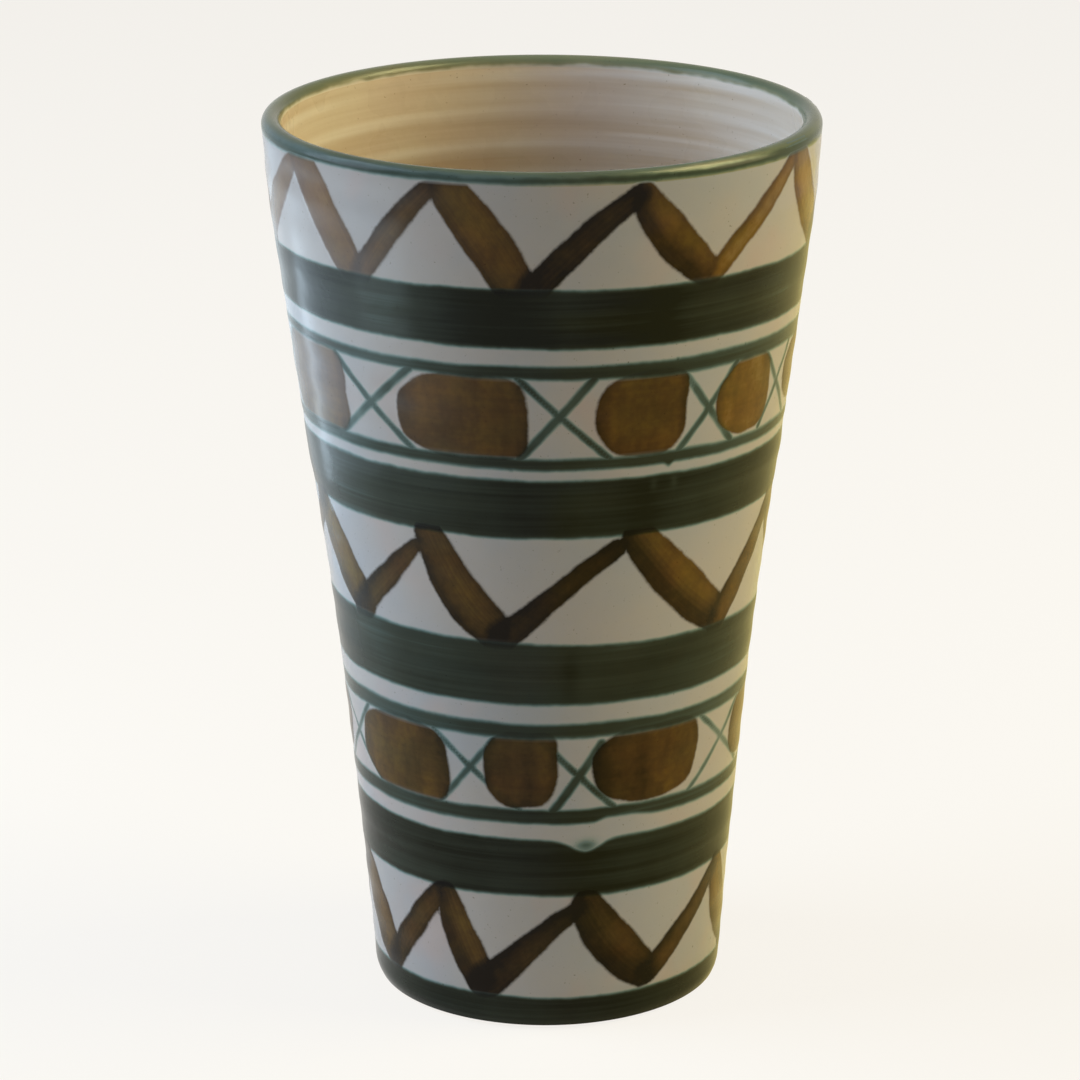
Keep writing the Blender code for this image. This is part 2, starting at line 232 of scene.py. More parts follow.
class Recipe:
    """The nodes of one material or of the world."""

    def __init__(self, owner: Union[bpy.types.Material, bpy.types.World]) -> None:
        """Starts with no nodes.

        Args:
            owner: the material or the world that takes the nodes.
        """
        self.owner = owner
        self.owner.use_nodes = True
        self.tree = owner.node_tree
        self.tree.nodes.clear()

    @classmethod
    def named(cls, name: str) -> "Recipe":
        """Recipe of a new material."""
        return cls(bpy.data.materials.new(name))

    def node(
        self,
        kind: str,
        settings: Optional[Mapping[str, Any]] = None,
        sockets: Optional[Mapping[Union[int, str], Value]] = None,
        output: Union[int, str] = 0,
    ) -> Flow:
        """Adds a node.

        Args:
            kind: the node's type.
            settings: its own settings, such as an operation or a ramp's stops, which are set first.
            sockets: a value or a link for each socket named or numbered.
            output: the output that is wanted.

        Returns:
            That output.
        """
        node = self.tree.nodes.new(kind)
        for key, setting in (settings or {}).items():
            if key == "stops":
                self.set_stops(node.color_ramp, setting)
            else:
                setattr(node, key, setting)
        for key, value in (sockets or {}).items():
            if isinstance(value, Flow):
                self.tree.links.new(value.socket, node.inputs[key])
            else:
                node.inputs[key].default_value = value
        return Flow(self, node.outputs[output])

    @staticmethod
    def set_stops(ramp: bpy.types.ColorRamp, stops: Stops) -> None:
        """Gives a ramp its stops.

        Args:
            ramp: the ramp, with the two stops that it starts with.
            stops: position and colour of each stop, in order.
        """
        for position, _ in stops[2:]:
            ramp.elements.new(position)
        for element, (position, colour) in zip(ramp.elements, stops):
            element.position = position
            element.color = colour

    def attribute(self, name: str) -> Flow:
        """A value that the mesh carries at its points."""
        return self.node("ShaderNodeAttribute", {"attribute_name": name}, output="Fac")

    def place(self) -> Flow:
        """The place on the object, in metres."""
        return self.node("ShaderNodeTexCoord", output="Object")

    def parts(self, place: Flow) -> Flow:
        """How far right a place lies; the node's outputs Y and Z give how far back and how far up."""
        return self.node("ShaderNodeSeparateXYZ", {}, {0: place})

    def stretched(self, place: Flow, scale: Sequence[float]) -> Flow:
        """The place scaled along each axis."""
        return self.node("ShaderNodeVectorMath", {"operation": "MULTIPLY"}, {0: place, 1: scale})

    def noise(self, place: Flow, scale: float, detail: float = 2.0) -> Flow:
        """Cloudy noise from 0 to 1 with this many cells to the unit."""
        return self.node("ShaderNodeTexNoise", {}, {"Vector": place, "Scale": scale, "Detail": detail})

    def waver(self, place: Flow, scale: float, swing: float, detail: float = 2.0) -> Flow:
        """Cloudy noise round 0, with this swing from the lowest to the highest."""
        return (self.noise(place, scale, detail) - 0.5) * swing

    def ramp(self, value: Flow, stops: Stops) -> Flow:
        """Colour of a value on a ramp."""
        return self.node("ShaderNodeValToRGB", {"stops": stops}, {0: value})

    def blend(self, share: Value, first: Value, second: Value, kind: str = "MIX") -> Flow:
        """Colour between two others, or another kind of blend of the two."""
        sockets = {0: share, MIX_FIRST: first, MIX_SECOND: second}
        return self.node("ShaderNodeMix", {"data_type": "RGBA", "blend_type": kind}, sockets, MIX_RESULT)

    def stain(self, ground: Value, stain: Value) -> Flow:
        """Colour of a ground seen through a stain."""
        return self.blend(1.0, ground, stain, "MULTIPLY")

    def dimmed(self, ground: Value, clear: Flow, tint: Colour) -> Flow:
        """Colour of a ground under a tint, which is gone where clear is 1."""
        return self.stain(ground, self.blend(clear, tint, NO_STAIN))

    def specked(self, ground: Value, value: Flow, tint: Colour, low: float, high: float) -> Flow:
        """Colour of a ground that takes a tint where a value is low."""
        return self.stain(ground, self.ramp(value, ((low, tint), (high, NO_STAIN))))

    def finish(
        self, colour: Flow, roughness: Value, relief: Flow, depth: float, gloss: float
    ) -> bpy.types.Material:
        """Closes the recipe with its surface.

        Args:
            colour: colour of the surface.
            roughness: roughness of the surface.
            relief: height of its fine relief, from 0 to 1.
            depth: depth of that relief in millimetres.
            gloss: how strongly it mirrors.

        Returns:
            The material.
        """
        normal = self.node(
            "ShaderNodeBump", {}, {"Strength": 1.0, "Distance": depth * MM, "Height": relief}
        )
        surface = self.node(
            "ShaderNodeBsdfPrincipled",
            {},
            {"Base Color": colour, "Roughness": roughness, "Specular IOR Level": gloss, "Normal": normal},
        )
        self.close(surface)
        return self.owner

    def close(self, surface: Flow) -> None:
        """Makes a shader the surface of the material or of the world.

        Args:
            surface: the shader.
        """
        of_world = isinstance(self.owner, bpy.types.World)
        out = self.tree.nodes.new("ShaderNodeOutputWorld" if of_world else "ShaderNodeOutputMaterial")
        self.tree.links.new(surface.socket, out.inputs["Surface"])

    def shown_rays(self) -> Flow:
        """1 for a ray that shows the background: straight, mirrored or through glass."""
        path = self.node("ShaderNodeLightPath", output="Is Camera Ray")
        return path.largest(path.other("Is Glossy Ray")).largest(path.other("Is Transmission Ray"))


class Paint(Enum):
    """What is painted on a piece besides the stripes that run round the wall."""

    STRIPES = "stripes"
    RIM = "rim"
    NET = "net"
    STROKES = "strokes"
    OVAL = "oval"


@dataclass(frozen=True)
class Stripe:
    """A green stripe round the wall: its edges, their climb to the right, and how thick the paint is."""

    low: float
    high: float
    low_climb: float
    high_climb: float
    strength: float

    def edges(self, turn: Number) -> tuple[Number, Number]:
        """Heights of the lower and the upper edge at an angle."""
        side = np.sin(np.radians(turn))
        return self.low + self.low_climb * side, self.high + self.high_climb * side

    def edge_depth(self, turn: np.ndarray, height: np.ndarray) -> np.ndarray:
        """How far inside the stripe a place lies, below 0 outside it."""
        low, high = self.edges(turn)
        return np.minimum(height - low, high - height)


FOOT_STRIPE = Stripe(-9.0, 7.8, 0.0, -0.3, 0.95)
WIDE_STRIPES = (
    Stripe(167.9, 181.2, -1.1, -0.6, 1.0),
    Stripe(123.1, 137.0, -0.6, -0.8, 0.91),
    Stripe(82.2, 97.1, -0.8, -1.7, 0.84),
    Stripe(34.1, 48.3, -0.2, -0.5, 0.95),
)
UPPER_LINES = (Stripe(160.8, 163.8, -1.5, -0.5, 0.82), Stripe(139.6, 142.3, -0.9, -1.0, 0.82))
LOWER_LINES = (Stripe(73.9, 77.5, -0.5, -0.7, 0.80), Stripe(52.5, 56.0, -0.3, -0.3, 0.84))
RIM_STRIPE = Stripe(205.05, 240.0, -0.55, 0.0, 0.43)


@dataclass(frozen=True)
class Sag:
    """A place where an edge of a stripe has run down: its middle, its half width and its depth."""

    angle: float
    wide: float
    depth: float

    def share(self, angle: Flow) -> Flow:
        """How far the edge has run down at an angle."""
        return angle.bell(self.angle, self.wide) * self.depth


@dataclass(frozen=True)
class Spot:
    """A soft spot in the green: its middle and half size round and up the wall, and its amount."""

    angle: float
    wide: float
    height: float
    tall: float
    amount: float

    def share(self, angle: Flow, height: Flow) -> Flow:
        """Amount of the spot at a place."""
        return angle.bell(self.angle, self.wide) * height.bell(self.height, self.tall) * self.amount


# The drip and its pool below the lower net, the drop below the upper net, and scars in the second band.
DRIP = Sag(11.6, 5.6, 2.9)
DROP = Sag(29.5, 0.9, 0.8)
POOL = Spot(11.6, 3.2, 46.7, 1.5, 0.46)
SCARS = (Spot(25.8, 0.9, 134.5, 1.4, 0.16), Spot(31.2, 0.9, 134.5, 1.4, 0.16))
# Places where the brush left more green, and three where it left less.
PATCHES = (
    Spot(6.5, 2.6, 89.5, 8.0, 0.13),
    Spot(26.0, 3.6, 174.5, 8.0, 0.13),
    Spot(24.0, 5.0, 130.0, 7.0, 0.13),
    Spot(-36.0, 13.0, 174.5, 9.0, -0.30),
    Spot(-54.0, 11.0, 112.0, 30.0, -0.24),
    Spot(62.0, 16.0, 174.5, 9.0, -0.20),
)


@dataclass(frozen=True)
class GlazeFinish:
    """The glossy outside: white glaze, the green stripes and what else is painted on a piece.

    Copper green and iron brown are tints by the thickness of the paint. The green is teal where it is thin
    and olive black where it is thick, the brown ochre where it is thin and black brown where it is thick.
    """

    name: str
    paint: Paint
    white: Colour = shade(156, 150, 146)
    cool_white: Colour = shade(148, 148, 150)
    pink_white: Colour = shade(160, 147, 142)
    speck: Colour = shade(192, 185, 176)
    cream: Colour = shade(217, 206, 195)
    olive: Colour = (1.0, 0.88, 0.56, 1.0)
    red_iron: Colour = (1.0, 0.90, 0.86, 1.0)
    olive_iron: Colour = (0.95, 1.0, 0.92, 1.0)
    # A grey that is a painted reflection on the brown at the upper left.
    painted_reflection_grey: Colour = (0.62, 0.50, 0.46, 1.0)
    copper: Stops = (
        (0.0, NO_STAIN),
        (0.10, (0.82, 0.92, 0.90, 1.0)),
        (0.28, (0.40, 0.58, 0.56, 1.0)),
        (0.50, (0.16, 0.26, 0.235, 1.0)),
        (0.72, (0.075, 0.100, 0.070, 1.0)),
        (1.0, (0.018, 0.023, 0.009, 1.0)),
    )
    iron: Stops = (
        (0.0, NO_STAIN),
        (0.25, (0.66, 0.46, 0.16, 1.0)),
        (0.45, (0.38, 0.222, 0.038, 1.0)),
        (0.65, (0.19, 0.108, 0.026, 1.0)),
        (0.82, (0.085, 0.050, 0.011, 1.0)),
        (1.0, (0.022, 0.014, 0.005, 1.0)),
    )
    stripe_edge: Span = (-0.75, 0.85)
    line_edge: Span = (-0.55, 0.70)
    brown_edge: Span = (-0.45, 0.45)
    green_level: float = 0.97
    line_gain: float = 0.14
    line_loss: float = 0.12
    lift: float = 0.9
    lift_start: Span = (13.5, 18.0)
    lift_end: Span = (24.0, 36.0)
    line_front: Bump = (2.0, 24.0)
    cross_front: Bump = (6.0, 20.0)
    cross_level: float = 0.53
    cross_gain: float = 0.17
    lip_edge: Span = (-0.9, 1.6)
    lip_front: Span = (5.0, 50.0)
    lip_back: Span = (0.0, 50.0)
    back_loss: float = 0.40
    lip_highlight_across: Bump = (5.0, 1.0)
    # A painted highlight on the lip: where, across and round, and how much the green thins in a streak
    # along the crown at the front right.
    lip_highlight_round: Bump = (36.0, 17.0)
    lip_highlight_thinning: float = 0.75
    border_start: Span = (5.0, 6.4)
    border_line: Bump = (2.5, 0.9)
    border_line_share: float = 0.6
    border_gain: float = 0.52
    # The olive over the lip is the glaze's own tint at the back and near the inner edge, and painted warm
    # light on the front right.
    warm_side: Span = (-24.0, 36.0)
    warm_end: Span = (3.8, 5.6)
    cream_end: Span = (-0.4, 0.6)
    pooled_edge: Span = (0.2, 2.2)
    # Where and how much the brown turns grey at the upper left: a painted reflection.
    painted_reflection_turn: Bump = (-66.0, 30.0)
    painted_reflection_height: Span = (132.0, 158.0)
    painted_reflection_share: float = 0.52
    rough_level: float = 0.17
    rough_swing: float = 0.08
    peel_depth: float = 0.035
    gloss: float = 0.10

    def angle(self, recipe: Recipe, place: Flow) -> Flow:
        """Angle of a place from the front, in degrees that grow towards the right."""
        parts = recipe.parts(place)
        return parts.worked("ARCTAN2", parts, 0 - parts.other("Y")) * math.degrees(1.0)

    def stripes(self, recipe: Recipe, place: Flow, brush: Flow) -> Flow:
        """Thickness of the green stripes.

        Args:
            recipe: the recipe that takes the nodes.
            place: the place on the wall.
            brush: brush marks round the wall, from 0 to 1.

        Returns:
            The thickness from 0 to 1.
        """
        angle = self.angle(recipe, place)
        side = angle.worked("SINE", angle * math.radians(1.0))
        shake = recipe.waver(place, 60.0, 1.1) + recipe.waver(place, 380.0, 0.35)
        height = recipe.parts(place).other("Z") / MM + shake
        front = angle.bell(*self.line_front)
        green: Value = 0.0
        for stripe in (FOOT_STRIPE, *WIDE_STRIPES, *UPPER_LINES, *LOWER_LINES, RIM_STRIPE):
            low = height - side * stripe.low_climb - stripe.low
            high = stripe.high + side * stripe.high_climb - height
            strength: Value = stripe.strength
            if stripe is WIDE_STRIPES[3]:
                high = high - DRIP.share(angle)
            if stripe is LOWER_LINES[1]:
                low = low - angle.rise(*self.lift_start) * (1 - angle.rise(*self.lift_end)) * self.lift
            if stripe is UPPER_LINES[1]:
                low = low + DROP.share(angle)
            if stripe in (*UPPER_LINES, *LOWER_LINES):
                strength = front * self.line_gain + (stripe.strength - self.line_loss)
            green = low.rise(*self.stripe_edge) * high.rise(*self.stripe_edge) * strength + green

        thick = self.green_level + recipe.waver(place, 34.0, 0.46, 3.0) + (brush - 0.5) * 0.40
        for patch in PATCHES:
            thick = thick + patch.share(angle, height)
        green = green.largest(POOL.share(angle, height)) * thick
        for scar in SCARS:
            green = green - scar.share(angle, height)
        return green

    def over_lip(self, recipe: Recipe, place: Flow, white: Flow, green: Flow) -> tuple[Flow, Flow]:
        """White and green over the lip, where the green thins and ends in the cream just inside, with a
        painted highlight on the crown at the front right.

        Args:
            recipe: the recipe that takes the nodes.
            place: the place on the lip.
            white: colour of the white.
            green: thickness of the green.

        Returns:
            The colour of the white and the thickness of the green there.
        """
        inward = recipe.attribute("inward") + recipe.waver(place, 150.0, 1.4)
        parts = recipe.parts(place)
        right, back = parts / MM, parts.other("Y") / MM
        front = (0 - back).rise(*self.lip_front)
        # Painted highlight: the green thins in a streak along the crown of the lip at the front right,
        # where a warm lamp would shine in the gloss.
        streak = inward.bell(*self.lip_highlight_across) * right.bell(*self.lip_highlight_round)
        streak = streak * front * self.lip_highlight_thinning
        border = inward.rise(*self.border_start) + inward.bell(*self.border_line) * self.border_line_share
        border = border * front * self.border_gain
        laid = green * inward.rise(*self.lip_edge)
        green = laid * (1 - back.rise(*self.lip_back) * self.back_loss + border - streak)
        # Olive tint: the glaze's own at the back and near the inner edge; on the front right it is painted
        # warm light, and the front left stays teal.
        warm = right.largest(back).rise(*self.warm_side).largest(1 - inward.rise(*self.warm_end))
        white = recipe.stain(white, recipe.blend(warm, NO_STAIN, self.olive))
        return recipe.blend(inward.rise(*self.cream_end), self.cream, white), green

    def crosses(self, recipe: Recipe, place: Flow) -> Flow:
        """Thickness of the crosses of a net, which an oval hides.

        Args:
            recipe: the recipe that takes the nodes.
            place: the place on the wall.

        Returns:
            The thickness from 0 to 1.
        """
        net = recipe.attribute("net") + recipe.waver(place, 300.0, 0.5)
        front = self.angle(recipe, place).bell(*self.cross_front)
        laid = net.rise(*self.line_edge)
        line = laid * (self.cross_level + front * self.cross_gain + recipe.waver(place, 110.0, 0.6))
        return line if self.paint is Paint.NET else line * (1 - recipe.attribute("hides"))

    def brown(self, recipe: Recipe, place: Flow, brush: Flow) -> tuple[Flow, Flow]:
        """Brown of a stroke or an oval.

        Args:
            recipe: the recipe that takes the nodes.
            place: the place on the wall.
            brush: brush marks round the wall, from 0 to 1.

        Returns:
            Where the brown lies, from 0 to 1, and its thickness from 0 to 1.
        """
        ragged = recipe.waver(place, 330.0, 0.6) + recipe.waver(place, 1100.0, 0.3)
        edge = recipe.attribute("edge") + ragged
        cover = edge.rise(*self.brown_edge) * recipe.attribute("lasting")
        pooled = 1 - edge.rise(*self.pooled_edge)
        cloud = recipe.waver(place, 120.0, 0.34, 3.0) + recipe.waver(place, 640.0, 0.16)
        tone = recipe.attribute("tone") + cloud
        if self.paint is Paint.STROKES:
            drawn = recipe.attribute("drawn") + recipe.waver(place, 90.0, 0.6)
            hairs = recipe.waver(recipe.node("ShaderNodeCombineXYZ", {}, {0: drawn * 1.6}), 1.0, 0.18)
            tone = tone + hairs + recipe.attribute("pile") * 0.19 + pooled * 0.04
        else:
            sweep = recipe.waver(recipe.stretched(place, (190.0, 190.0, 26.0)), 1.0, 0.30)
            tone = tone + (brush - 0.5) * 0.12 + sweep + pooled * 0.05
        return cover, tone

    def browned(self, recipe: Recipe, place: Flow, brush: Flow, ground: Flow) -> Flow:
        """Colour of a ground under its brown, redder here, more olive there, and greyed at the upper left
        by a painted reflection.

        Args:
            recipe: the recipe that takes the nodes.
            place: the place on the wall.
            brush: brush marks round the wall, from 0 to 1.
            ground: colour of the ground.

        Returns:
            The colour.
        """
        cover, thickness = self.brown(recipe, place, brush)
        warmth = recipe.noise(recipe.stretched(place, (1.0, 1.0, 1.4)), 85.0, 3.0)
        rust = recipe.ramp(warmth, ((0.34, self.red_iron), (0.66, self.olive_iron)))
        brown = recipe.stain(recipe.ramp(thickness, self.iron), rust)
        height = recipe.parts(place).other("Z") / MM
        # Painted reflection: the brown turns grey at the upper left.
        grey = self.angle(recipe, place).bell(*self.painted_reflection_turn) * height.rise(*self.painted_reflection_height)
        brown = recipe.blend(grey * self.painted_reflection_share, brown, self.painted_reflection_grey)
        return recipe.blend(cover, ground, recipe.stain(ground, brown))

    def make(self) -> bpy.types.Material:
        """Builds the material.

        Returns:
            The material for the piece.
        """
        recipe = Recipe.named(self.name)
        place = recipe.place()
        brush = recipe.noise(recipe.stretched(place, (14.0, 14.0, 900.0)), 1.0, 3.0)
        cloud = recipe.noise(place, 26.0, 3.0)
        white = recipe.blend(cloud.rise(0.40, 0.70), self.white, self.cool_white)
        white = recipe.blend(recipe.noise(place, 47.0).rise(0.52, 0.78), white, self.pink_white)
        white = recipe.specked(white, recipe.noise(place, 1500.0, 1.0), self.speck, 0.16, 0.28)

        green = self.stripes(recipe, place, brush)
        if self.paint is Paint.RIM:
            white, green = self.over_lip(recipe, place, white, green)
        if self.paint in (Paint.NET, Paint.OVAL):
            green = green.largest(self.crosses(recipe, place))
        colour = recipe.stain(white, recipe.ramp(green, self.copper))
        if self.paint in (Paint.STROKES, Paint.OVAL):
            colour = self.browned(recipe, place, brush, colour)

        peel = recipe.noise(place, 520.0, 1.0) * 0.6 + recipe.noise(place, 130.0, 1.0) * 1.2
        roughness = self.rough_level + recipe.noise(place, 75.0) * self.rough_swing
        return recipe.finish(colour, roughness, peel, self.peel_depth, self.gloss)


@dataclass(frozen=True)
class LiningFinish:
    """The cream glaze inside, with darker glaze lying in the throwing rings, painted shade deeper down and
    at the sides, and painted cool light to the right.
    """

    name: str = "cream_lining_glaze"
    cream: Colour = shade(232, 226, 218)
    rose: Colour = shade(227, 216, 209)
    groove: Colour = shade(242, 236, 228)
    streak: Colour = shade(238, 230, 219)
    speck: Colour = shade(188, 172, 154)
    # The next two tints are painted shade, deeper down and at the left and right sides; the pale white
    # after them is painted cool light.
    deep_shade_tint: Colour = shade(228, 225, 216)
    side: Colour = shade(236, 232, 225)
    pale: Colour = shade(238, 238, 240)
    cool_light_right: Span = (30.0, 58.0)
    cool_light_share: float = 0.8
    clear_ring: Span = (-0.2, 0.9)
    shade_clear_height: Span = (176.0, 196.0)
    shade_clear_middle: Bump = (2.0, 24.0)
    rough_level: float = 0.22
    rough_swing: float = 0.12
    relief: float = 0.05
    gloss: float = 0.20

    def make(self) -> bpy.types.Material:
        """Builds the material.

        Returns:
            The material for the lining.
        """
        recipe = Recipe.named(self.name)
        place = recipe.place()
        parts = recipe.parts(place)
        right, height = parts / MM, parts.other("Z") / MM
        rings = recipe.noise(recipe.stretched(place, (9.0, 9.0, 330.0)), 1.0, 3.0)
        colour = recipe.blend(recipe.noise(place, 24.0, 3.0).rise(0.35, 0.70), self.cream, self.rose)
        # Painted light: the lining turns a cool pale white towards the right, where the cool lamp from the
        # left shines in.
        colour = recipe.blend(right.rise(*self.cool_light_right) * self.cool_light_share, colour, self.pale)
        colour = recipe.dimmed(colour, recipe.attribute("ring").rise(*self.clear_ring), self.groove)
        colour = recipe.specked(colour, rings, self.streak, 0.30, 0.62)
        colour = recipe.specked(colour, recipe.noise(place, 1300.0, 1.0), self.speck, 0.16, 0.27)
        # Painted shade: the lining darkens below a height of 176 mm, deeper in the vase.
        colour = recipe.dimmed(colour, height.rise(*self.shade_clear_height), self.deep_shade_tint)
        # Painted shade: the lining darkens towards its left and right sides, away from the middle.
        colour = recipe.dimmed(colour, right.bell(*self.shade_clear_middle), self.side)
        peel = recipe.noise(place, 480.0, 1.0) * 0.6 + rings * 1.4
        roughness = self.rough_level + recipe.noise(place, 70.0) * self.rough_swing
        return recipe.finish(colour, roughness, peel, self.relief, self.gloss)


@dataclass(frozen=True)
class ClayFinish:
    """The bare fired clay of the foot: buff red, gritty and lightly scored by turning."""

    name: str = "bare_fired_clay"
    buff: Colour = shade(196, 148, 108)
    red: Colour = shade(170, 112, 76)
    dust: Colour = shade(206, 176, 146)
    grit: Colour = shade(120, 82, 58)
    rough_level: float = 0.80
    rough_swing: float = 0.15
    relief: float = 0.16
    gloss: float = 0.25

    def make(self) -> bpy.types.Material:
        """Builds the material.

        Returns:
            The material for the clay.
        """
        recipe = Recipe.named(self.name)
        place = recipe.place()
        parts = recipe.parts(place)
        right, back = parts, parts.other("Y")
        out = right.worked("SQRT", right * right + back * back)
        along = recipe.node("ShaderNodeCombineXYZ", {}, {0: out / MM, 1: parts.other("Z") / MM})
        turned = recipe.noise(along, 1.1, 3.0)
        grain = recipe.noise(place, 2600.0, 2.0)
        colour = recipe.blend(recipe.noise(place, 42.0, 3.0).rise(0.35, 0.68), self.buff, self.red)
        colour = recipe.blend(turned.rise(0.55, 0.80) * 0.5, colour, self.dust)
        colour = recipe.blend(grain.rise(0.60, 0.72) * 0.7, colour, self.grit)
        roughness = self.rough_level + grain * self.rough_swing
        return recipe.finish(colour, roughness, grain * 0.6 + turned * 1.5, self.relief, self.gloss)


@dataclass(frozen=True)
class Thread:
    """Rings that the fingers left, climbing like a thread: their pitch and how it drifts up the wall."""

    pitch: float
    drift: float
    drift_height: float

    def wave(self, turn: np.ndarray, height: np.ndarray) -> np.ndarray:
        """The rings from -1 in a hollow to 1 on a ridge."""
        drift = self.drift * np.sin(height / self.drift_height)
        return np.sin(2 * np.pi * height / self.pitch + np.radians(turn) + drift)


@dataclass(frozen=True)
class Wall:
    """The thrown wall: its outline, its small unevenness, and a lip that dips towards the front."""

    heights: tuple[float, ...] = (0.0, 20.0, 50.0, 80.0, 110.0, 140.0, 170.0, 190.0, 210.0)
    radii: tuple[float, ...] = (41.15, 42.70, 45.38, 48.28, 51.88, 56.12, 60.04, 62.58, 64.15)
    inset: float = 0.10
    lip_thickness: float = 4.5
    lip_level: float = 206.25
    lip_dip: float = 1.15
    lip_climb: float = -0.35
    base_thickness: float = 7.4
    floor_level: float = 8.7
    ridge_level: float = 131.0
    ridge_height: float = 0.22
    ridge_width: float = 4.0
    out_of_round: float = 0.08
    foot_tuck: float = 0.9
    foot_round: float = 3.5
    outer_rings: Thread = Thread(8.3, 1.3, 19.0)
    outer_ring_height: float = 0.05
    wide_rings: Thread = Thread(7.4, 0.9, 23.0)
    wide_ring_share: float = 0.72
    fine_rings: Thread = Thread(3.3, 1.7, 11.0)
    inner_ring_height: float = 0.13
    inner_ring_fade: float = 14.0

    @property
    def lip_radius(self) -> float:
        """Radius of the rounding of the lip."""
        return self.lip_thickness / 2

    def outline(self, height: np.ndarray) -> np.ndarray:
        """Smooth radius of the wall.

        Args:
            height: heights on the wall.

        Returns:
            The radius at each height.
        """
        heights = np.array(self.heights)
        radii = np.array(self.radii)
        slopes = np.gradient(radii, heights)
        index = np.clip(np.searchsorted(heights, height, side="right") - 1, 0, len(heights) - 2)
        run = heights[index + 1] - heights[index]
        rise = radii[index + 1] - radii[index]
        share = (height - heights[index]) / run
        start = slopes[index] * run - rise
        end = rise - slopes[index + 1] * run
        return radii[index] + rise * share + share * (1 - share) * (start * (1 - share) + end * share)

    def radius(self, turn: np.ndarray, height: np.ndarray) -> np.ndarray:
        """Radius of the wall as it was thrown.

        Args:
            turn: angle of each place.
            height: height of each place.

        Returns:
            The radius at each place.
        """
        ridge = self.ridge_height * np.exp(-(((height - self.ridge_level) / self.ridge_width) ** 2))
        rings = self.outer_ring_height * self.outer_rings.wave(turn, height)
        oval = self.out_of_round * np.cos(2 * np.radians(turn) - 0.6) * height / self.lip_level
        over = np.clip(height - self.level(turn), 0.0, self.lip_radius)
        rounding = self.lip_radius - np.sqrt(self.lip_radius**2 - over**2)
        tuck = self.foot_tuck * np.clip(1 - height / self.foot_round, 0.0, 1.0) ** 2
        return self.outline(height) + ridge + rings + oval - rounding - tuck - self.inset

    def level(self, turn: np.ndarray) -> np.ndarray:
        """Height of the middle of the lip's rounding."""
        angle = np.radians(turn)
        return self.lip_level - self.lip_dip * np.cos(angle) + self.lip_climb * np.sin(angle)

    def thickness(self, height: np.ndarray) -> np.ndarray:
        """Thickness of the wall, glaze and paint included."""
        share = np.clip((self.lip_level - height) / (self.lip_level - self.floor_level), 0.0, 1.0)
        return self.lip_thickness + (self.base_thickness - self.lip_thickness) * share

    def ring(self, turn: np.ndarray, height: np.ndarray) -> np.ndarray:
        """Throwing rings of the inside, from -1 in a hollow to 1 on a ridge."""
        share = self.wide_ring_share
        return share * self.wide_rings.wave(turn, height) + (1 - share) * self.fine_rings.wave(turn, height)

    def inside(self, turn: np.ndarray, height: np.ndarray) -> np.ndarray:
        """Radius of the inside.

        Args:
            turn: angle of each place.
            height: height of each place.

        Returns:
            The radius at each place.
        """
        fade = smooth_step(self.lip_level - height, 0.0, self.inner_ring_fade)
        rings = self.inner_ring_height * fade * self.ring(turn, height)
        return self.outline(height) - self.inset - self.thickness(height) - rings

    def lip(self, turn: np.ndarray, angle: np.ndarray, sunk: Number) -> Places:
        """Places round the rounded lip.

        Args:
            turn: angle of each place round the vase.
            angle: angle round the lip, 0 outwards and 90 upwards.
            sunk: how far under the finished surface the places lie.

        Returns:
            Radius and height of each place.
        """
        level = self.level(turn)
        centre = self.radius(turn, level) - self.lip_radius
        inner = self.inside(turn, level)
        reach = np.where(angle > 90.0, centre - inner, self.lip_radius) - sunk
        rise = self.lip_radius - sunk
        turned = np.radians(angle)
        return centre + reach * np.cos(turned), level + rise * np.sin(turned)


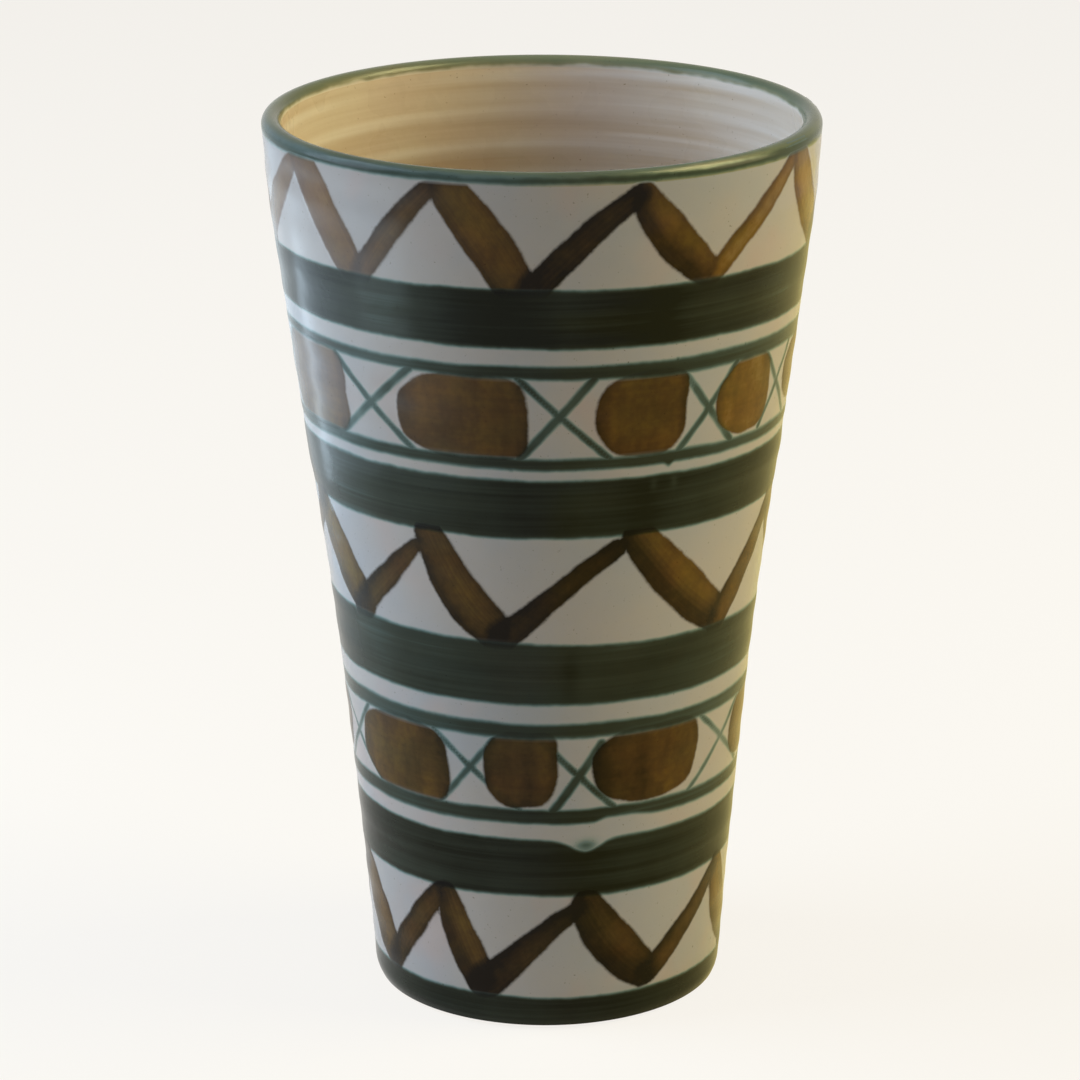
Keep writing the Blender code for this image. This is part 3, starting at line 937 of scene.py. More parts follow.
class Skin:
    """A mesh made of closed, thin or solid grids of points."""

    sharp_angle = math.radians(50.0)

    def __init__(self) -> None:
        """Starts with nothing."""
        self.points: list[np.ndarray] = []
        self.faces: list[list[int]] = []
        self.values: dict[str, list[np.ndarray]] = {}
        self.count = 0

    def add(
        self,
        front: np.ndarray,
        back: Optional[np.ndarray] = None,
        keep: Optional[np.ndarray] = None,
        values: Optional[Mapping[str, np.ndarray]] = None,
        wraps: bool = True,
        caps: Sequence[int] = (),
    ) -> None:
        """Adds a grid whose rows run upwards and whose columns run to the right, seen from its front.

        Args:
            front: the points of the front.
            back: the points of the back, where the grid is a thin film.
            keep: which points belong to the film; a cell stays if one of its corners does.
            values: what each point carries for the material.
            wraps: whether the last column meets the first.
            caps: rows that are closed with one face.
        """
        rows, columns = front.shape[:2]
        index = np.arange(rows * columns).reshape(rows, columns)
        if wraps:
            index = np.concatenate([index, index[:, :1]], axis=1)
        corners = [index[:-1, :-1], index[:-1, 1:], index[1:, 1:], index[1:, :-1]]
        cells = np.stack(corners, axis=-1).reshape(-1, 4)
        if keep is not None:
            cells = cells[keep.reshape(-1)[cells].any(axis=1)]
        points = front.reshape(-1, 3)
        faces = cells.tolist()
        shifts = [0]
        if back is not None:
            size = len(points)
            starts = cells.reshape(-1)
            ends = np.roll(cells, -1, axis=1).reshape(-1)
            open_edge = ~np.isin(starts * size + ends, ends * size + starts)
            sides = np.stack([ends, starts, starts + size, ends + size], axis=-1)[open_edge]
            faces += (cells[:, ::-1] + size).tolist() + sides.tolist()
            points = np.concatenate([points, back.reshape(-1, 3)])
            shifts.append(size)
        for shift in shifts:
            for row in caps:
                ring = (np.arange(columns) + (row % rows) * columns + shift).tolist()
                upward = (row % rows != 0) == (shift == 0)
                faces.append(ring if upward else ring[::-1])

        used = np.zeros(len(points), dtype=bool)
        used[np.concatenate([np.array(face) for face in faces])] = True
        order = np.cumsum(used) - 1 + self.count
        self.faces += [order[np.array(face)].tolist() for face in faces]
        self.points.append(points[used])
        self.count += int(used.sum())
        for name, value in (values or {}).items():
            flat = np.asarray(value, dtype=np.float32).reshape(-1)
            both = flat if back is None else np.concatenate([flat, flat])
            self.values.setdefault(name, []).append(both[used])

    def make(self, name: str) -> bpy.types.Object:
        """Turns the grids into one object.

        Args:
            name: name of the object.

        Returns:
            The object, linked to the scene.
        """
        mesh = bpy.data.meshes.new(name)
        mesh.from_pydata(np.concatenate(self.points).tolist(), [], self.faces)
        for key, parts in self.values.items():
            layer = mesh.attributes.new(key, "FLOAT", "POINT")
            layer.data.foreach_set("value", np.concatenate(parts))
        mesh.shade_smooth()
        mesh.set_sharp_from_angle(angle=self.sharp_angle)
        mesh.validate()
        obj = bpy.data.objects.new(name, mesh)
        bpy.context.scene.collection.objects.link(obj)
        return obj


def seat(obj: bpy.types.Object, node: str, material: bpy.types.Material) -> None:
    """Dresses a piece and puts it in place of its solid.

    Args:
        obj: the piece.
        node: the solid that it stands for.
        material: its material.
    """
    obj.data.materials.append(material)
    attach(obj, BODY)
    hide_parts(node)
    LOG.info("%s: %d faces, in place of %s", obj.name, len(obj.data.polygons), node)


COAT_SUNK = 0.04


@dataclass(frozen=True)
class Film:
    """How a film of paint rises out of the white coat."""

    lift: float
    under: float = 0.025
    thickness: float = 0.25
    margin: float = 1.3
    slope: Span = (-1.0, 0.5)

    def raised(self, edge: np.ndarray) -> np.ndarray:
        """Height of the film against the finished wall, by the depth inside the edge of the paint."""
        lowest = -COAT_SUNK - self.under
        return lowest + (self.lift - lowest) * smooth_step(edge, *self.slope)


GREEN_FILM = Film(lift=0.0)
BROWN_FILM = Film(lift=0.03)


@dataclass(frozen=True)
class Register:
    """A stretch of the wall that is unrolled into a grid."""

    low: float
    high: float
    start: float = -180.0
    end: float = 180.0
    spacing: float = 0.75

    @property
    def wraps(self) -> bool:
        """Whether the stretch runs right round the vase."""
        return self.end - self.start >= 360.0

    def millimetres(self, wall: Wall) -> float:
        """Length of one degree round the middle of the stretch."""
        return float(np.radians(wall.outline(np.array((self.low + self.high) / 2))))

    def grid(self, wall: Wall) -> Places:
        """Places of the grid.

        Args:
            wall: the wall that carries it.

        Returns:
            Angle and height of each place.
        """
        columns = round((self.end - self.start) * self.millimetres(wall) / self.spacing)
        rows = round((self.high - self.low) / self.spacing) + 1
        points = columns if self.wraps else columns + 1
        turn = np.linspace(self.start, self.end, points, endpoint=not self.wraps)
        return np.meshgrid(turn, np.linspace(self.low, self.high, rows))

    def paint(
        self, wall: Wall, film: Film, edge: np.ndarray, values: Mapping[str, np.ndarray], name: str
    ) -> bpy.types.Object:
        """Makes the film of a mark on this stretch.

        Args:
            wall: the wall that carries it.
            film: how the film rises.
            edge: depth of each place of the grid inside the edge of the mark.
            values: what each place carries for the material.
            name: name of the piece.

        Returns:
            The piece.
        """
        turn, height = self.grid(wall)
        top = wall.radius(turn, height) + film.raised(edge)
        front = placed(turn, top, height)
        back = placed(turn, top - film.thickness, height)
        skin = Skin()
        skin.add(front, back, edge > -film.margin, values, self.wraps)
        return skin.make(name)


@dataclass
class Vessel:
    """The clay, the white coat outside and the cream lining inside."""

    wall: Wall
    columns: int = 240
    coat_rows: int = 116
    lining_rows: int = 112
    lip_rows: int = 9
    bend_rows: int = 10
    floor_rows: int = 22
    clay_columns: int = 192
    clay_rows: int = 60
    clay_lip_rows: int = 15
    hollow_rows: int = 20
    slope_rows: int = 7
    flat_rows: int = 6
    edge_rows: int = 8
    glaze: float = 0.40
    clay_gap: float = 0.05
    bare_edge: float = 0.45
    foot_edge: float = 1.0
    ring_width: float = 8.0
    hollow: float = 2.5
    scoring: float = 0.06
    scores: float = 40.0
    corner: float = 8.0
    swirl: float = 0.22
    swirl_pitch: float = 5.2
    hollow_middle: float = 0.03
    floor_middle: float = 0.02

    def outside(self, turn: np.ndarray, sunk: float, bottom: float, rows: int, lip: np.ndarray) -> Places:
        """Places up the outside and over the lip.

        Args:
            turn: angles of the columns.
            sunk: how far under the finished wall they lie.
            bottom: height of the lowest.
            rows: number of rows up to the lip.
            lip: angles round the lip of the rows above.

        Returns:
            Radius and height of each place.
        """
        height = bottom + (self.wall.level(turn) - bottom) * column(0.0, 1.0, rows)
        radius = self.wall.radius(turn, height) - sunk
        lip_radius, lip_height = self.wall.lip(turn, lip, sunk)
        return np.concatenate([radius, lip_radius]), np.concatenate([height, lip_height])

    def cavity(self, turn: np.ndarray, sunk: float, lip: np.ndarray) -> Places:
        """Places over the inner half of the lip, down the inside and across the floor to its middle.

        Args:
            turn: angles of the columns.
            sunk: how far behind the finished lining they lie.
            lip: angles round the lip of the first rows.

        Returns:
            Radius and height of each place.
        """
        lip_radius, lip_height = self.wall.lip(turn, lip, sunk)
        level = self.wall.level(turn)
        bend = self.wall.floor_level + self.corner
        height = level + (bend - level) * column(0.0, 1.0, self.lining_rows)[1:]
        radius = self.wall.inside(turn, height) + sunk
        turned = np.radians(column(0.0, 90.0, self.bend_rows)[1:])
        centre = radius[-1] - sunk - self.corner
        bend_radius = centre + (self.corner + sunk) * np.cos(turned)
        bend_height = all_round(bend - (self.corner + sunk) * np.sin(turned), turn)
        inward = column(1.0, self.floor_middle, self.floor_rows)[1:]
        floor_radius = centre * inward
        swirl = self.swirl * np.sin(floor_radius * 2 * np.pi / self.swirl_pitch + np.radians(turn))
        fade = smooth_step(inward, 0.0, 0.25) * smooth_step(1.0 - inward, 0.0, 0.2)
        floor_height = self.wall.floor_level - sunk + swirl * fade
        return (
            np.concatenate([lip_radius, radius, bend_radius, floor_radius]),
            np.concatenate([lip_height, height, bend_height, floor_height]),
        )

    def foot(self, turn: np.ndarray, sunk: float) -> Places:
        """Places across the scored hollow of the foot, down to its flat ring and round the outer edge.

        Args:
            turn: angles of the columns.
            sunk: how far under the finished wall the outer edge lies.

        Returns:
            Radius and height of each place.
        """
        outer = self.wall.radius(turn, np.full_like(turn, self.foot_edge)) - sunk
        inner = outer - self.ring_width
        share = column(self.hollow_middle, 1.0, self.hollow_rows)
        scored = self.scoring * np.sin(share * self.scores + np.radians(turn))
        slope = column(0.0, 1.0, self.slope_rows)[1:]
        flat = column(0.0, 1.0, self.flat_rows)[1:-1]
        turned = np.radians(column(-90.0, 0.0, self.edge_rows))
        radii = [
            (inner - self.hollow) * share,
            inner - self.hollow * (1 - slope),
            inner + (self.ring_width - self.foot_edge) * flat,
            outer - self.foot_edge + self.foot_edge * np.cos(turned),
        ]
        heights = [
            self.hollow + scored * smooth_step(1.0 - share, 0.0, 0.1),
            all_round(self.hollow * (1 - smooth_step(slope, 0.0, 1.0)), turn),
            all_round(np.zeros_like(flat), turn),
            all_round(self.foot_edge * (1 + np.sin(turned)), turn),
        ]
        return np.concatenate(radii), np.concatenate(heights)

    def build_coat(self) -> bpy.types.Object:
        """The white coat from the foot to the crown of the lip.

        Returns:
            The piece.
        """
        turn = turns(self.columns)
        lip = column(0.0, 90.0, self.lip_rows)[1:]
        front = self.outside(turn, COAT_SUNK, self.bare_edge, self.coat_rows, lip)
        back = self.outside(turn, COAT_SUNK + self.glaze, self.bare_edge, self.coat_rows, lip)
        skin = Skin()
        skin.add(placed(turn, *front), placed(turn, *back))
        return skin.make("white_coat")

    def build_lining(self) -> bpy.types.Object:
        """The cream lining from the crown of the lip to the middle of the floor.

        Returns:
            The piece.
        """
        turn = turns(self.columns)
        lip = column(90.0, 180.0, self.lip_rows)[:-1]
        front = self.cavity(turn, COAT_SUNK, lip)
        back = self.cavity(turn, COAT_SUNK + self.glaze, lip)
        ring = self.wall.ring(turn, back[1])
        skin = Skin()
        skin.add(placed(turn, *front), placed(turn, *back), values={"ring": ring}, caps=(-1,))
        return skin.make("cream_lining")

    def build_clay(self) -> bpy.types.Object:
        """The clay under the coats, with its bare foot.

        Returns:
            The piece.
        """
        turn = turns(self.clay_columns)
        sunk = COAT_SUNK + self.glaze + self.clay_gap
        lip = column(0.0, 180.0, self.clay_lip_rows)[1:-1]
        foot_radius, foot_height = self.foot(turn, sunk)
        wall_radius, wall_height = self.outside(turn, sunk, self.foot_edge, self.clay_rows, lip)
        inside_radius, inside_height = self.cavity(turn, sunk, np.array([[180.0]]))
        radius = np.concatenate([foot_radius, wall_radius[1:], inside_radius])
        height = np.concatenate([foot_height, wall_height[1:], inside_height])
        skin = Skin()
        skin.add(placed(turn, radius, height), caps=(0, -1))
        return skin.make("fired_clay")

    def build(self) -> None:
        """Builds and dresses the three pieces."""
        seat(self.build_clay(), "clay_body", ClayFinish().make())
        seat(self.build_lining(), "inside_glaze", LiningFinish().make())
        coat = GlazeFinish("white_coat_glaze", Paint.STRIPES)
        seat(self.build_coat(), "outside_glaze", coat.make())


@dataclass
class Bands:
    """The green over the lip, the green at the foot and the four wide bands between them."""

    wall: Wall
    columns: int = 240
    wall_rows: int = 9
    lip_rows: int = 25
    tail_rows: int = 6
    rim_margin: float = 1.5
    rim_end: float = 176.0
    rim_tail: float = 3.2
    lowest: float = 0.5
    margin: float = 3.0
    spacing: float = 1.0

    def build_rim(self) -> bpy.types.Object:
        """The green over the lip, down to its end just inside.

        Returns:
            The piece.
        """
        turn = turns(self.columns)
        level = self.wall.level(turn)
        bottom = RIM_STRIPE.low - self.rim_margin
        wall_height = bottom + (level - bottom) * column(0.0, 1.0, self.wall_rows)[:-1]
        angle = column(0.0, 180.0, self.lip_rows)
        tail = self.rim_tail * column(0.0, 1.0, self.tail_rows)[1:]
        arc = all_round(np.radians(self.rim_end - angle) * self.wall.lip_radius, turn)
        below = arc[0] + (level - wall_height)
        end = arc[-1] - tail
        inward = np.concatenate([below, arc, end])
        above = np.minimum(RIM_STRIPE.edge_depth(turn, wall_height), below)
        raised = GREEN_FILM.raised(np.concatenate([above, arc, end]))
        cuts = [len(wall_height), len(wall_height) + len(angle)]
        sides = []
        for sunk in (-raised, GREEN_FILM.thickness - raised):
            low, middle, high = np.split(sunk, cuts)
            wall_radius = self.wall.radius(turn, wall_height) - low
            lip_radius, lip_height = self.wall.lip(turn, angle, middle)
            tail_radius = self.wall.inside(turn, level - tail) + high
            radius = np.concatenate([wall_radius, lip_radius, tail_radius])
            height = np.concatenate([wall_height, lip_height, level - tail])
            sides.append(placed(turn, radius, height))
        skin = Skin()
        skin.add(sides[0], sides[1], values={"inward": inward})
        return skin.make("rim_green")

    def build(self) -> None:
        """Builds and dresses the six pieces."""
        rim = GlazeFinish("rim_green_glaze", Paint.RIM)
        seat(self.build_rim(), "rim_band", rim.make())
        green = GlazeFinish("brushed_green_glaze", Paint.STRIPES).make()
        marks = [("foot_green", "foot_band", FOOT_STRIPE)]
        for number, stripe in enumerate(WIDE_STRIPES, 1):
            marks.append((f"wide_green_{number}", f"green_band_{number}", stripe))
        for name, node, stripe in marks:
            low = max(stripe.low - self.margin, self.lowest)
            register = Register(low, stripe.high + self.margin, spacing=self.spacing)
            edge = stripe.edge_depth(*register.grid(self.wall))
            seat(register.paint(self.wall, GREEN_FILM, edge, {}, name), node, green)


@dataclass(frozen=True)
class Stroke:
    """A brush stroke: three places along its middle, its width at each, and paint that thins to a core."""

    start: tuple[float, float]
    middle: tuple[float, float]
    end: tuple[float, float]
    widths: tuple[float, float, float]
    tone: float = 0.66
    fade: float = 0.15
    core: float = 0.25
    side_gain: float = 1.4
    side_limit: float = 1.35
    core_loss: float = 0.9
    end_gain: float = 0.10
    middle_loss: float = 0.05
    samples: int = 26

    @property
    def climbs(self) -> bool:
        """Whether the stroke was drawn upwards."""
        return self.end[1] > self.start[1]

    def line(self, scale: float) -> Measures:
        """Middle line of the stroke on the unrolled wall.

        Args:
            scale: length of one degree.

        Returns:
            Places along the line in millimetres, half the width at each, and the share of the run at each.
        """
        share = np.linspace(0.0, 1.0, self.samples)
        start, middle, end = np.array([self.start, self.middle, self.end]) * (scale, 1.0)
        return bent(start, middle, end, share[:, None]), bent(*self.widths, share) / 2, share

    def measure(self, turn: np.ndarray, height: np.ndarray, scale: float) -> Measures:
        """Where places lie on the stroke.

        Args:
            turn: angle of each place.
            height: height of each place.
            scale: length of one degree.

        Returns:
            Depth inside the stroke's edge, distance across from its middle line, and share of its run.
        """
        centre = self.middle[0]
        spot = np.stack([(turned_from(centre, turn) + centre) * scale, height], axis=-1)
        line, half, share = self.line(scale)
        depth = np.full(turn.shape, FAR_OUTSIDE)
        across = np.zeros(turn.shape)
        along = np.zeros(turn.shape)
        for i in range(self.samples - 1):
            run = line[i + 1] - line[i]
            part = np.clip(((spot - line[i]) @ run) / (run @ run), 0.0, 1.0)
            offset = spot - line[i] - part[..., None] * run
            away = np.linalg.norm(offset, axis=-1)
            inside = half[i] + (half[i + 1] - half[i]) * part - away
            nearer = inside > depth
            depth = np.where(nearer, inside, depth)
            sign = np.sign(run[0] * offset[..., 1] - run[1] * offset[..., 0])
            across = np.where(nearer, sign * away, across)
            along = np.where(nearer, share[i] + (share[i + 1] - share[i]) * part, along)
        return depth, across, along

    def thickness(self, across: np.ndarray, along: np.ndarray) -> np.ndarray:
        """Thickness of the paint, least along the core and more towards both ends.

        Args:
            across: distance of each place from the middle line.
            along: share of the run at each place.

        Returns:
            The thickness at each place.
        """
        right = (-across if self.climbs else across) / (max(self.widths) / 2)
        sides = np.minimum(self.side_gain * (right - self.core) ** 2, self.side_limit)
        body = self.fade * (sides - self.core_loss)
        return self.tone + body + self.end_gain * (2 * along - 1) ** 2 - self.middle_loss


@dataclass(frozen=True)
class Hand:
    """How strokes in one direction vary: their width, how it tapers, and how thick the paint is."""

    widths: Span
    taper: tuple[float, float, float]
    tones: Span


UP_HAND = Hand((5.4, 6.4), (1.05, 1.0, 0.75), (0.84, 0.96))
DOWN_HAND = Hand((9.8, 11.2), (0.75, 1.0, 0.88), (0.72, 0.84))


@dataclass
class Zigzag:
    """One brown zigzag: wide strokes down and narrow strokes up, right round its white field."""

    wall: Wall
    place: str
    stripe_above: Stripe
    stripe_below: Stripe
    seen: tuple[Stroke, ...]
    unseen: int
    closes_up: bool
    seed: int
    up_share: float = 0.55
    up_weight: float = 2.5
    bow: float = 0.8
    fades: Span = (0.05, 0.22)
    low_room: float = 1.5
    high_room: float = 2.0
    reach_above: float = 3.0
    reach_below: float = 4.5
    overlap_above: float = 1.5
    overlap_below: float = 1.9
    sway: float = 0.16
    sways: float = 7.0
    ripple: float = 0.08
    ripples: float = 17.0
    ripple_shift: float = 2.6
    lip_room: float = 0.1
    hair_step: float = 31.0

    def strokes(self) -> list[Stroke]:
        """The strokes that are seen, and others of the same hand round the back.

        Returns:
            All strokes in the order in which they run round the vase.
        """
        chance = np.random.default_rng(self.seed)
        low = self.stripe_below.high + self.low_room
        high = self.stripe_above.low - self.high_room
        angle = self.seen[-1].end[0]
        goal = self.seen[0].start[0] + 360.0
        width = (goal - angle) / (self.unseen + (self.up_share if self.closes_up else 0.0))
        strokes = list(self.seen)
        for number in range(2 * self.unseen + (1 if self.closes_up else 0)):
            up = number % 2 == 0
            hand = UP_HAND if up else DOWN_HAND
            step = width * (self.up_share if up else 1 - self.up_share)
            begin, finish = (angle, low if up else high), (angle + step, high if up else low)
            bow = chance.uniform(-self.bow, self.bow)
            middle = ((begin[0] + finish[0]) / 2 + bow, (begin[1] + finish[1]) / 2)
            size = chance.uniform(*hand.widths)
            first, half, last = (size * part for part in hand.taper)
            tone = chance.uniform(*hand.tones)
            fade = chance.uniform(*self.fades)
            strokes.append(Stroke(begin, middle, finish, (first, half, last), tone, fade))
            angle += step
        return strokes

    def brushed(
        self, turn: np.ndarray, height: np.ndarray, scale: float
    ) -> tuple[np.ndarray, dict[str, np.ndarray]]:
        """Lays the strokes over one another.

        Args:
            turn: angle of each place.
            height: height of each place.
            scale: length of one degree.

        Returns:
            Depth inside the edge of the strokes, and what the paint carries: its thickness, the lines that
            the brush drew, and where strokes lie over one another.
        """
        depth = np.full(turn.shape, FAR_OUTSIDE)
        second = np.full(turn.shape, FAR_OUTSIDE)
        drawn = np.zeros(turn.shape)
        tone = np.zeros(turn.shape)
        weight = np.full(turn.shape, LEAST_WEIGHT)
        for number, stroke in enumerate(self.strokes()):
            inside, across, along = stroke.measure(turn, height, scale)
            sway = self.sway * np.sin(self.sways * along + number)
            ripple = self.ripple * np.sin(self.ripples * along + self.ripple_shift * number)
            inside = inside + (sway + ripple) * np.sign(across)
            drawn = np.where(inside > depth, across + self.hair_step * number, drawn)
            second = np.maximum(second, np.minimum(depth, inside))
            depth = np.maximum(depth, inside)
            share = smooth_step(inside, -1.5, 1.2) * (self.up_weight if stroke.climbs else 1.0)
            tone += stroke.thickness(across, along) * share
            weight += share
        return depth, {"tone": tone / weight, "drawn": drawn, "pile": smooth_step(second, -0.6, 2.2)}

    def build(self) -> None:
        """Builds and dresses the zigzag."""
        low = self.stripe_below.high - self.reach_below
        register = Register(low, self.stripe_above.low + self.reach_above)
        turn, height = register.grid(self.wall)
        depth, values = self.brushed(turn, height, register.millimetres(self.wall))
        top = self.stripe_above.edges(turn)[0] + self.overlap_above
        above = np.minimum(top, self.wall.level(turn) - self.lip_room) - height
        below = height - self.stripe_below.edges(turn)[1] + self.overlap_below
        edge = np.minimum(depth, np.minimum(above, below))
        values["edge"] = edge
        values["lasting"] = smooth_step(above, -0.4, 0.7) * smooth_step(below, -0.2, 2.6)
        obj = register.paint(self.wall, BROWN_FILM, edge, values, f"zigzag_brown_{self.place}")
        finish = GlazeFinish(f"brown_stroke_glaze_{self.place}", Paint.STROKES)
        seat(obj, f"zigzag_{self.place}", finish.make())


@dataclass(frozen=True)
class Cross:
    """A green cross: the ends of the stroke that falls to the right and of the one that climbs."""

    falling: tuple[tuple[float, float], tuple[float, float]]
    climbing: tuple[tuple[float, float], tuple[float, float]]
    falling_width: float = 1.6
    climbing_width: float = 1.9
    falling_bow: float = -0.5
    climbing_bow: float = 0.4
    reach: float = 0.07

    @property
    def centre(self) -> float:
        """Angle of the cross's middle."""
        return (self.falling[0][0] + self.falling[1][0] + self.climbing[0][0] + self.climbing[1][0]) / 4

    def strokes(self) -> list[Stroke]:
        """The two strokes of the cross.

        Returns:
            Thin strokes with a light bow.
        """
        falling = (self.falling, self.falling_bow, self.falling_width)
        climbing = (self.climbing, self.climbing_bow, self.climbing_width)
        made = []
        for ends, bow, width in (falling, climbing):
            left, right = np.array(ends)
            reach = (right - left) * self.reach
            middle = (left + right) / 2 + (bow, 0.0)
            widths = (width, width, width)
            made.append(Stroke(tuple(left - reach), tuple(middle), tuple(right + reach), widths))
        return made


@dataclass(frozen=True)
class Oval:
    """A brown oval between two crosses: its four sides, how square its ends are, and its paint."""

    left: float
    right: float
    low: float
    high: float
    left_square: float = 2.3
    right_square: float = 3.2
    corner_square: float = 4.5
    tone: float = 0.62
    fade: float = 0.0
    sway: float = 0.016
    ripple: float = 0.011
    left_gain: float = 0.13
    left_end: Span = (0.45, 1.0)
    right_gain: float = 0.07
    right_end: Span = (0.65, 1.0)

    def measure(self, turn: np.ndarray, height: np.ndarray, scale: float) -> Places:
        """Where places lie on the oval.

        Args:
            turn: angle of each place.
            height: height of each place.
            scale: length of one degree.

        Returns:
            Depth inside the oval's edge, and the share of the way to its edge to the right.
        """
        wide = (self.right - self.left) / 2 * scale
        tall = (self.high - self.low) / 2
        x = turned_from((self.left + self.right) / 2, turn) * scale
        y = height - (self.low + self.high) / 2
        power = np.where(x < 0, self.left_square, np.where(y < 0, self.right_square, self.corner_square))
        reach = ((np.abs(x) / wide) ** power + (np.abs(y) / tall) ** power) ** (1 / power)
        angle = np.arctan2(y / tall, x / wide)
        wave = self.sway * np.sin(3 * angle + self.left) + self.ripple * np.sin(7 * angle + 2 * self.left)
        slope = np.hypot(np.cos(angle) / wide, np.sin(angle) / tall)
        return (1 + wave - reach) / slope, x / wide

    def thickness(self, across: np.ndarray) -> np.ndarray:
        """Thickness of the paint, with more of it at both ends."""
        left = self.left_gain * smooth_step(-across, *self.left_end)
        right = self.right_gain * smooth_step(across, *self.right_end)
        return self.tone - self.fade * across + (left + right)


@dataclass
class Lattice:
    """Two green lines with crosses between them, and a brown oval between each cross and the next."""

    wall: Wall
    place: str
    lines: tuple[Stripe, Stripe]
    seen_crosses: tuple[Cross, ...]
    unseen_crosses: tuple[float, ...]
    seen_ovals: tuple[Oval, ...]
    last_oval: Optional[Oval]
    seed: int
    spacing: float = 0.65
    net_margin: float = 2.6
    net_reach: float = 9.0
    oval_margin: float = 2.5
    oval_side_margin: float = 3.5
    cross_ends: tuple[float, float, float, float] = (-9.0, 9.5, -9.5, 8.5)
    cross_shift: float = 1.5
    oval_rooms: Span = (0.33, 0.37)
    oval_shift: float = 0.8
    low_gaps: Span = (0.0, 1.0)
    high_gaps: Span = (0.0, 0.8)
    squares: tuple[Span, Span, Span] = ((2.2, 2.6), (2.6, 3.3), (3.0, 4.5))
    tones: Span = (0.58, 0.68)
    fades: Span = (-0.1, 0.1)
    oval_hides: float = 0.85
    line_shows: float = 0.75

    @property
    def register(self) -> Register:
        """The stretch of the wall that the net covers."""
        upper, lower = self.lines
        return Register(lower.low - self.net_margin, upper.high + self.net_margin, spacing=self.spacing)

    @property
    def scale(self) -> float:
        """Length of one degree round the middle of the net."""
        return self.register.millimetres(self.wall)

    def field(self, turn: float) -> Span:
        """Upper edge of the lower line and lower edge of the upper line at an angle."""
        upper, lower = self.lines
        return float(lower.edges(turn)[1]), float(upper.edges(turn)[0])

    def crosses(self) -> list[Cross]:
        """The crosses that are seen, and others of the same hand round the back.

        Returns:
            All crosses, from left to right.
        """
        chance = np.random.default_rng(self.seed)
        made = list(self.seen_crosses)
        for centre in self.unseen_crosses:
            low, high = self.field(centre)
            shifts = chance.uniform(-self.cross_shift, self.cross_shift, len(self.cross_ends))
            ends = centre + np.array(self.cross_ends) + shifts
            made.append(Cross(((ends[0], high), (ends[1], low)), ((ends[2], low), (ends[3], high))))
        return made

    def ovals(self) -> list[Oval]:
        """The ovals that are seen, and others of the same hand round the back.

        Returns:
            The oval after each cross, in the order of the crosses.
        """
        chance = np.random.default_rng(self.seed + 1)
        centres = [cross.centre for cross in self.crosses()]
        centres.append(centres[0] + 360.0)
        made = list(self.seen_ovals)
        last = [] if self.last_oval is None else [self.last_oval]
        for left, right in list(zip(centres, centres[1:]))[len(made) : len(centres) - 1 - len(last)]:
            room = (right - left) * chance.uniform(*self.oval_rooms)
            centre = (left + right) / 2 + chance.uniform(-self.oval_shift, self.oval_shift)
            low, high = self.field(centre)
            low = low + chance.uniform(*self.low_gaps)
            high = high - chance.uniform(*self.high_gaps)
            squares = [chance.uniform(*limits) for limits in self.squares]
            paint = (chance.uniform(*self.tones), chance.uniform(*self.fades))
            made.append(Oval(centre - room, centre + room, low, high, *squares, *paint))
        return made + last

    def line_depth(self, turn: np.ndarray, height: np.ndarray) -> np.ndarray:
        """How far inside the nearer of the two lines places lie."""
        return np.maximum(*[line.edge_depth(turn, height) for line in self.lines])

    def net_depth(self, turn: np.ndarray, height: np.ndarray) -> np.ndarray:
        """How far inside the strokes of the crosses places lie.

        Args:
            turn: angle of each place.
            height: height of each place.

        Returns:
            The depth inside the nearest stroke's edge.
        """
        depth = np.full(turn.shape, -self.net_reach)
        for cross in self.crosses():
            for stroke in cross.strokes():
                depth = np.maximum(depth, stroke.measure(turn, height, self.scale)[0])
        return depth

    def build_net(self) -> None:
        """Builds and dresses the two lines and the crosses."""
        turn, height = self.register.grid(self.wall)
        net = self.net_depth(turn, height)
        edge = np.maximum(net, self.line_depth(turn, height))
        obj = self.register.paint(self.wall, GREEN_FILM, edge, {"net": net}, f"green_net_{self.place}")
        finish = GlazeFinish(f"green_net_glaze_{self.place}", Paint.NET)
        seat(obj, f"lattice_{self.place}", finish.make())

    def build_oval(self, number: int, oval: Oval, brown: bpy.types.Material) -> None:
        """Builds and dresses one oval.

        Args:
            number: its place in the order of the ovals, from 1.
            oval: its shape and its paint.
            brown: its material.
        """
        register = Register(
            oval.low - self.oval_margin,
            oval.high + self.oval_margin,
            oval.left - self.oval_side_margin,
            oval.right + self.oval_side_margin,
            self.spacing,
        )
        turn, height = register.grid(self.wall)
        edge, across = oval.measure(turn, height, self.scale)
        values = {
            "edge": edge,
            "tone": oval.thickness(across),
            "net": self.net_depth(turn, height),
            "hides": self.oval_hides * smooth_step(edge, -0.3, 0.8),
            "lasting": 1 - self.line_shows * smooth_step(self.line_depth(turn, height), -0.7, 1.0),
        }
        obj = register.paint(self.wall, BROWN_FILM, edge, values, f"brown_oval_{self.place}_{number}")
        seat(obj, f"oval_{self.place}_{number}", brown)

    def build(self) -> None:
        """Builds and dresses the net and its ovals."""
        self.build_net()
        brown = GlazeFinish(f"brown_oval_glaze_{self.place}", Paint.OVAL).make()
        for number, oval in enumerate(self.ovals(), 1):
            self.build_oval(number, oval, brown)


def stand(right: np.ndarray, up: np.ndarray, ahead: np.ndarray, place: Sequence[float]) -> Matrix:
    """Placement of a lamp or of the camera.

    Args:
        right: its right.
        up: its up.
        ahead: where it looks.
        place: where it stands.

    Returns:
        The matrix that puts it there.
    """
    columns = np.eye(4)
    columns[:3, 0] = right
    columns[:3, 1] = up
    columns[:3, 2] = -ahead
    columns[:3, 3] = place
    return Matrix(columns.tolist())


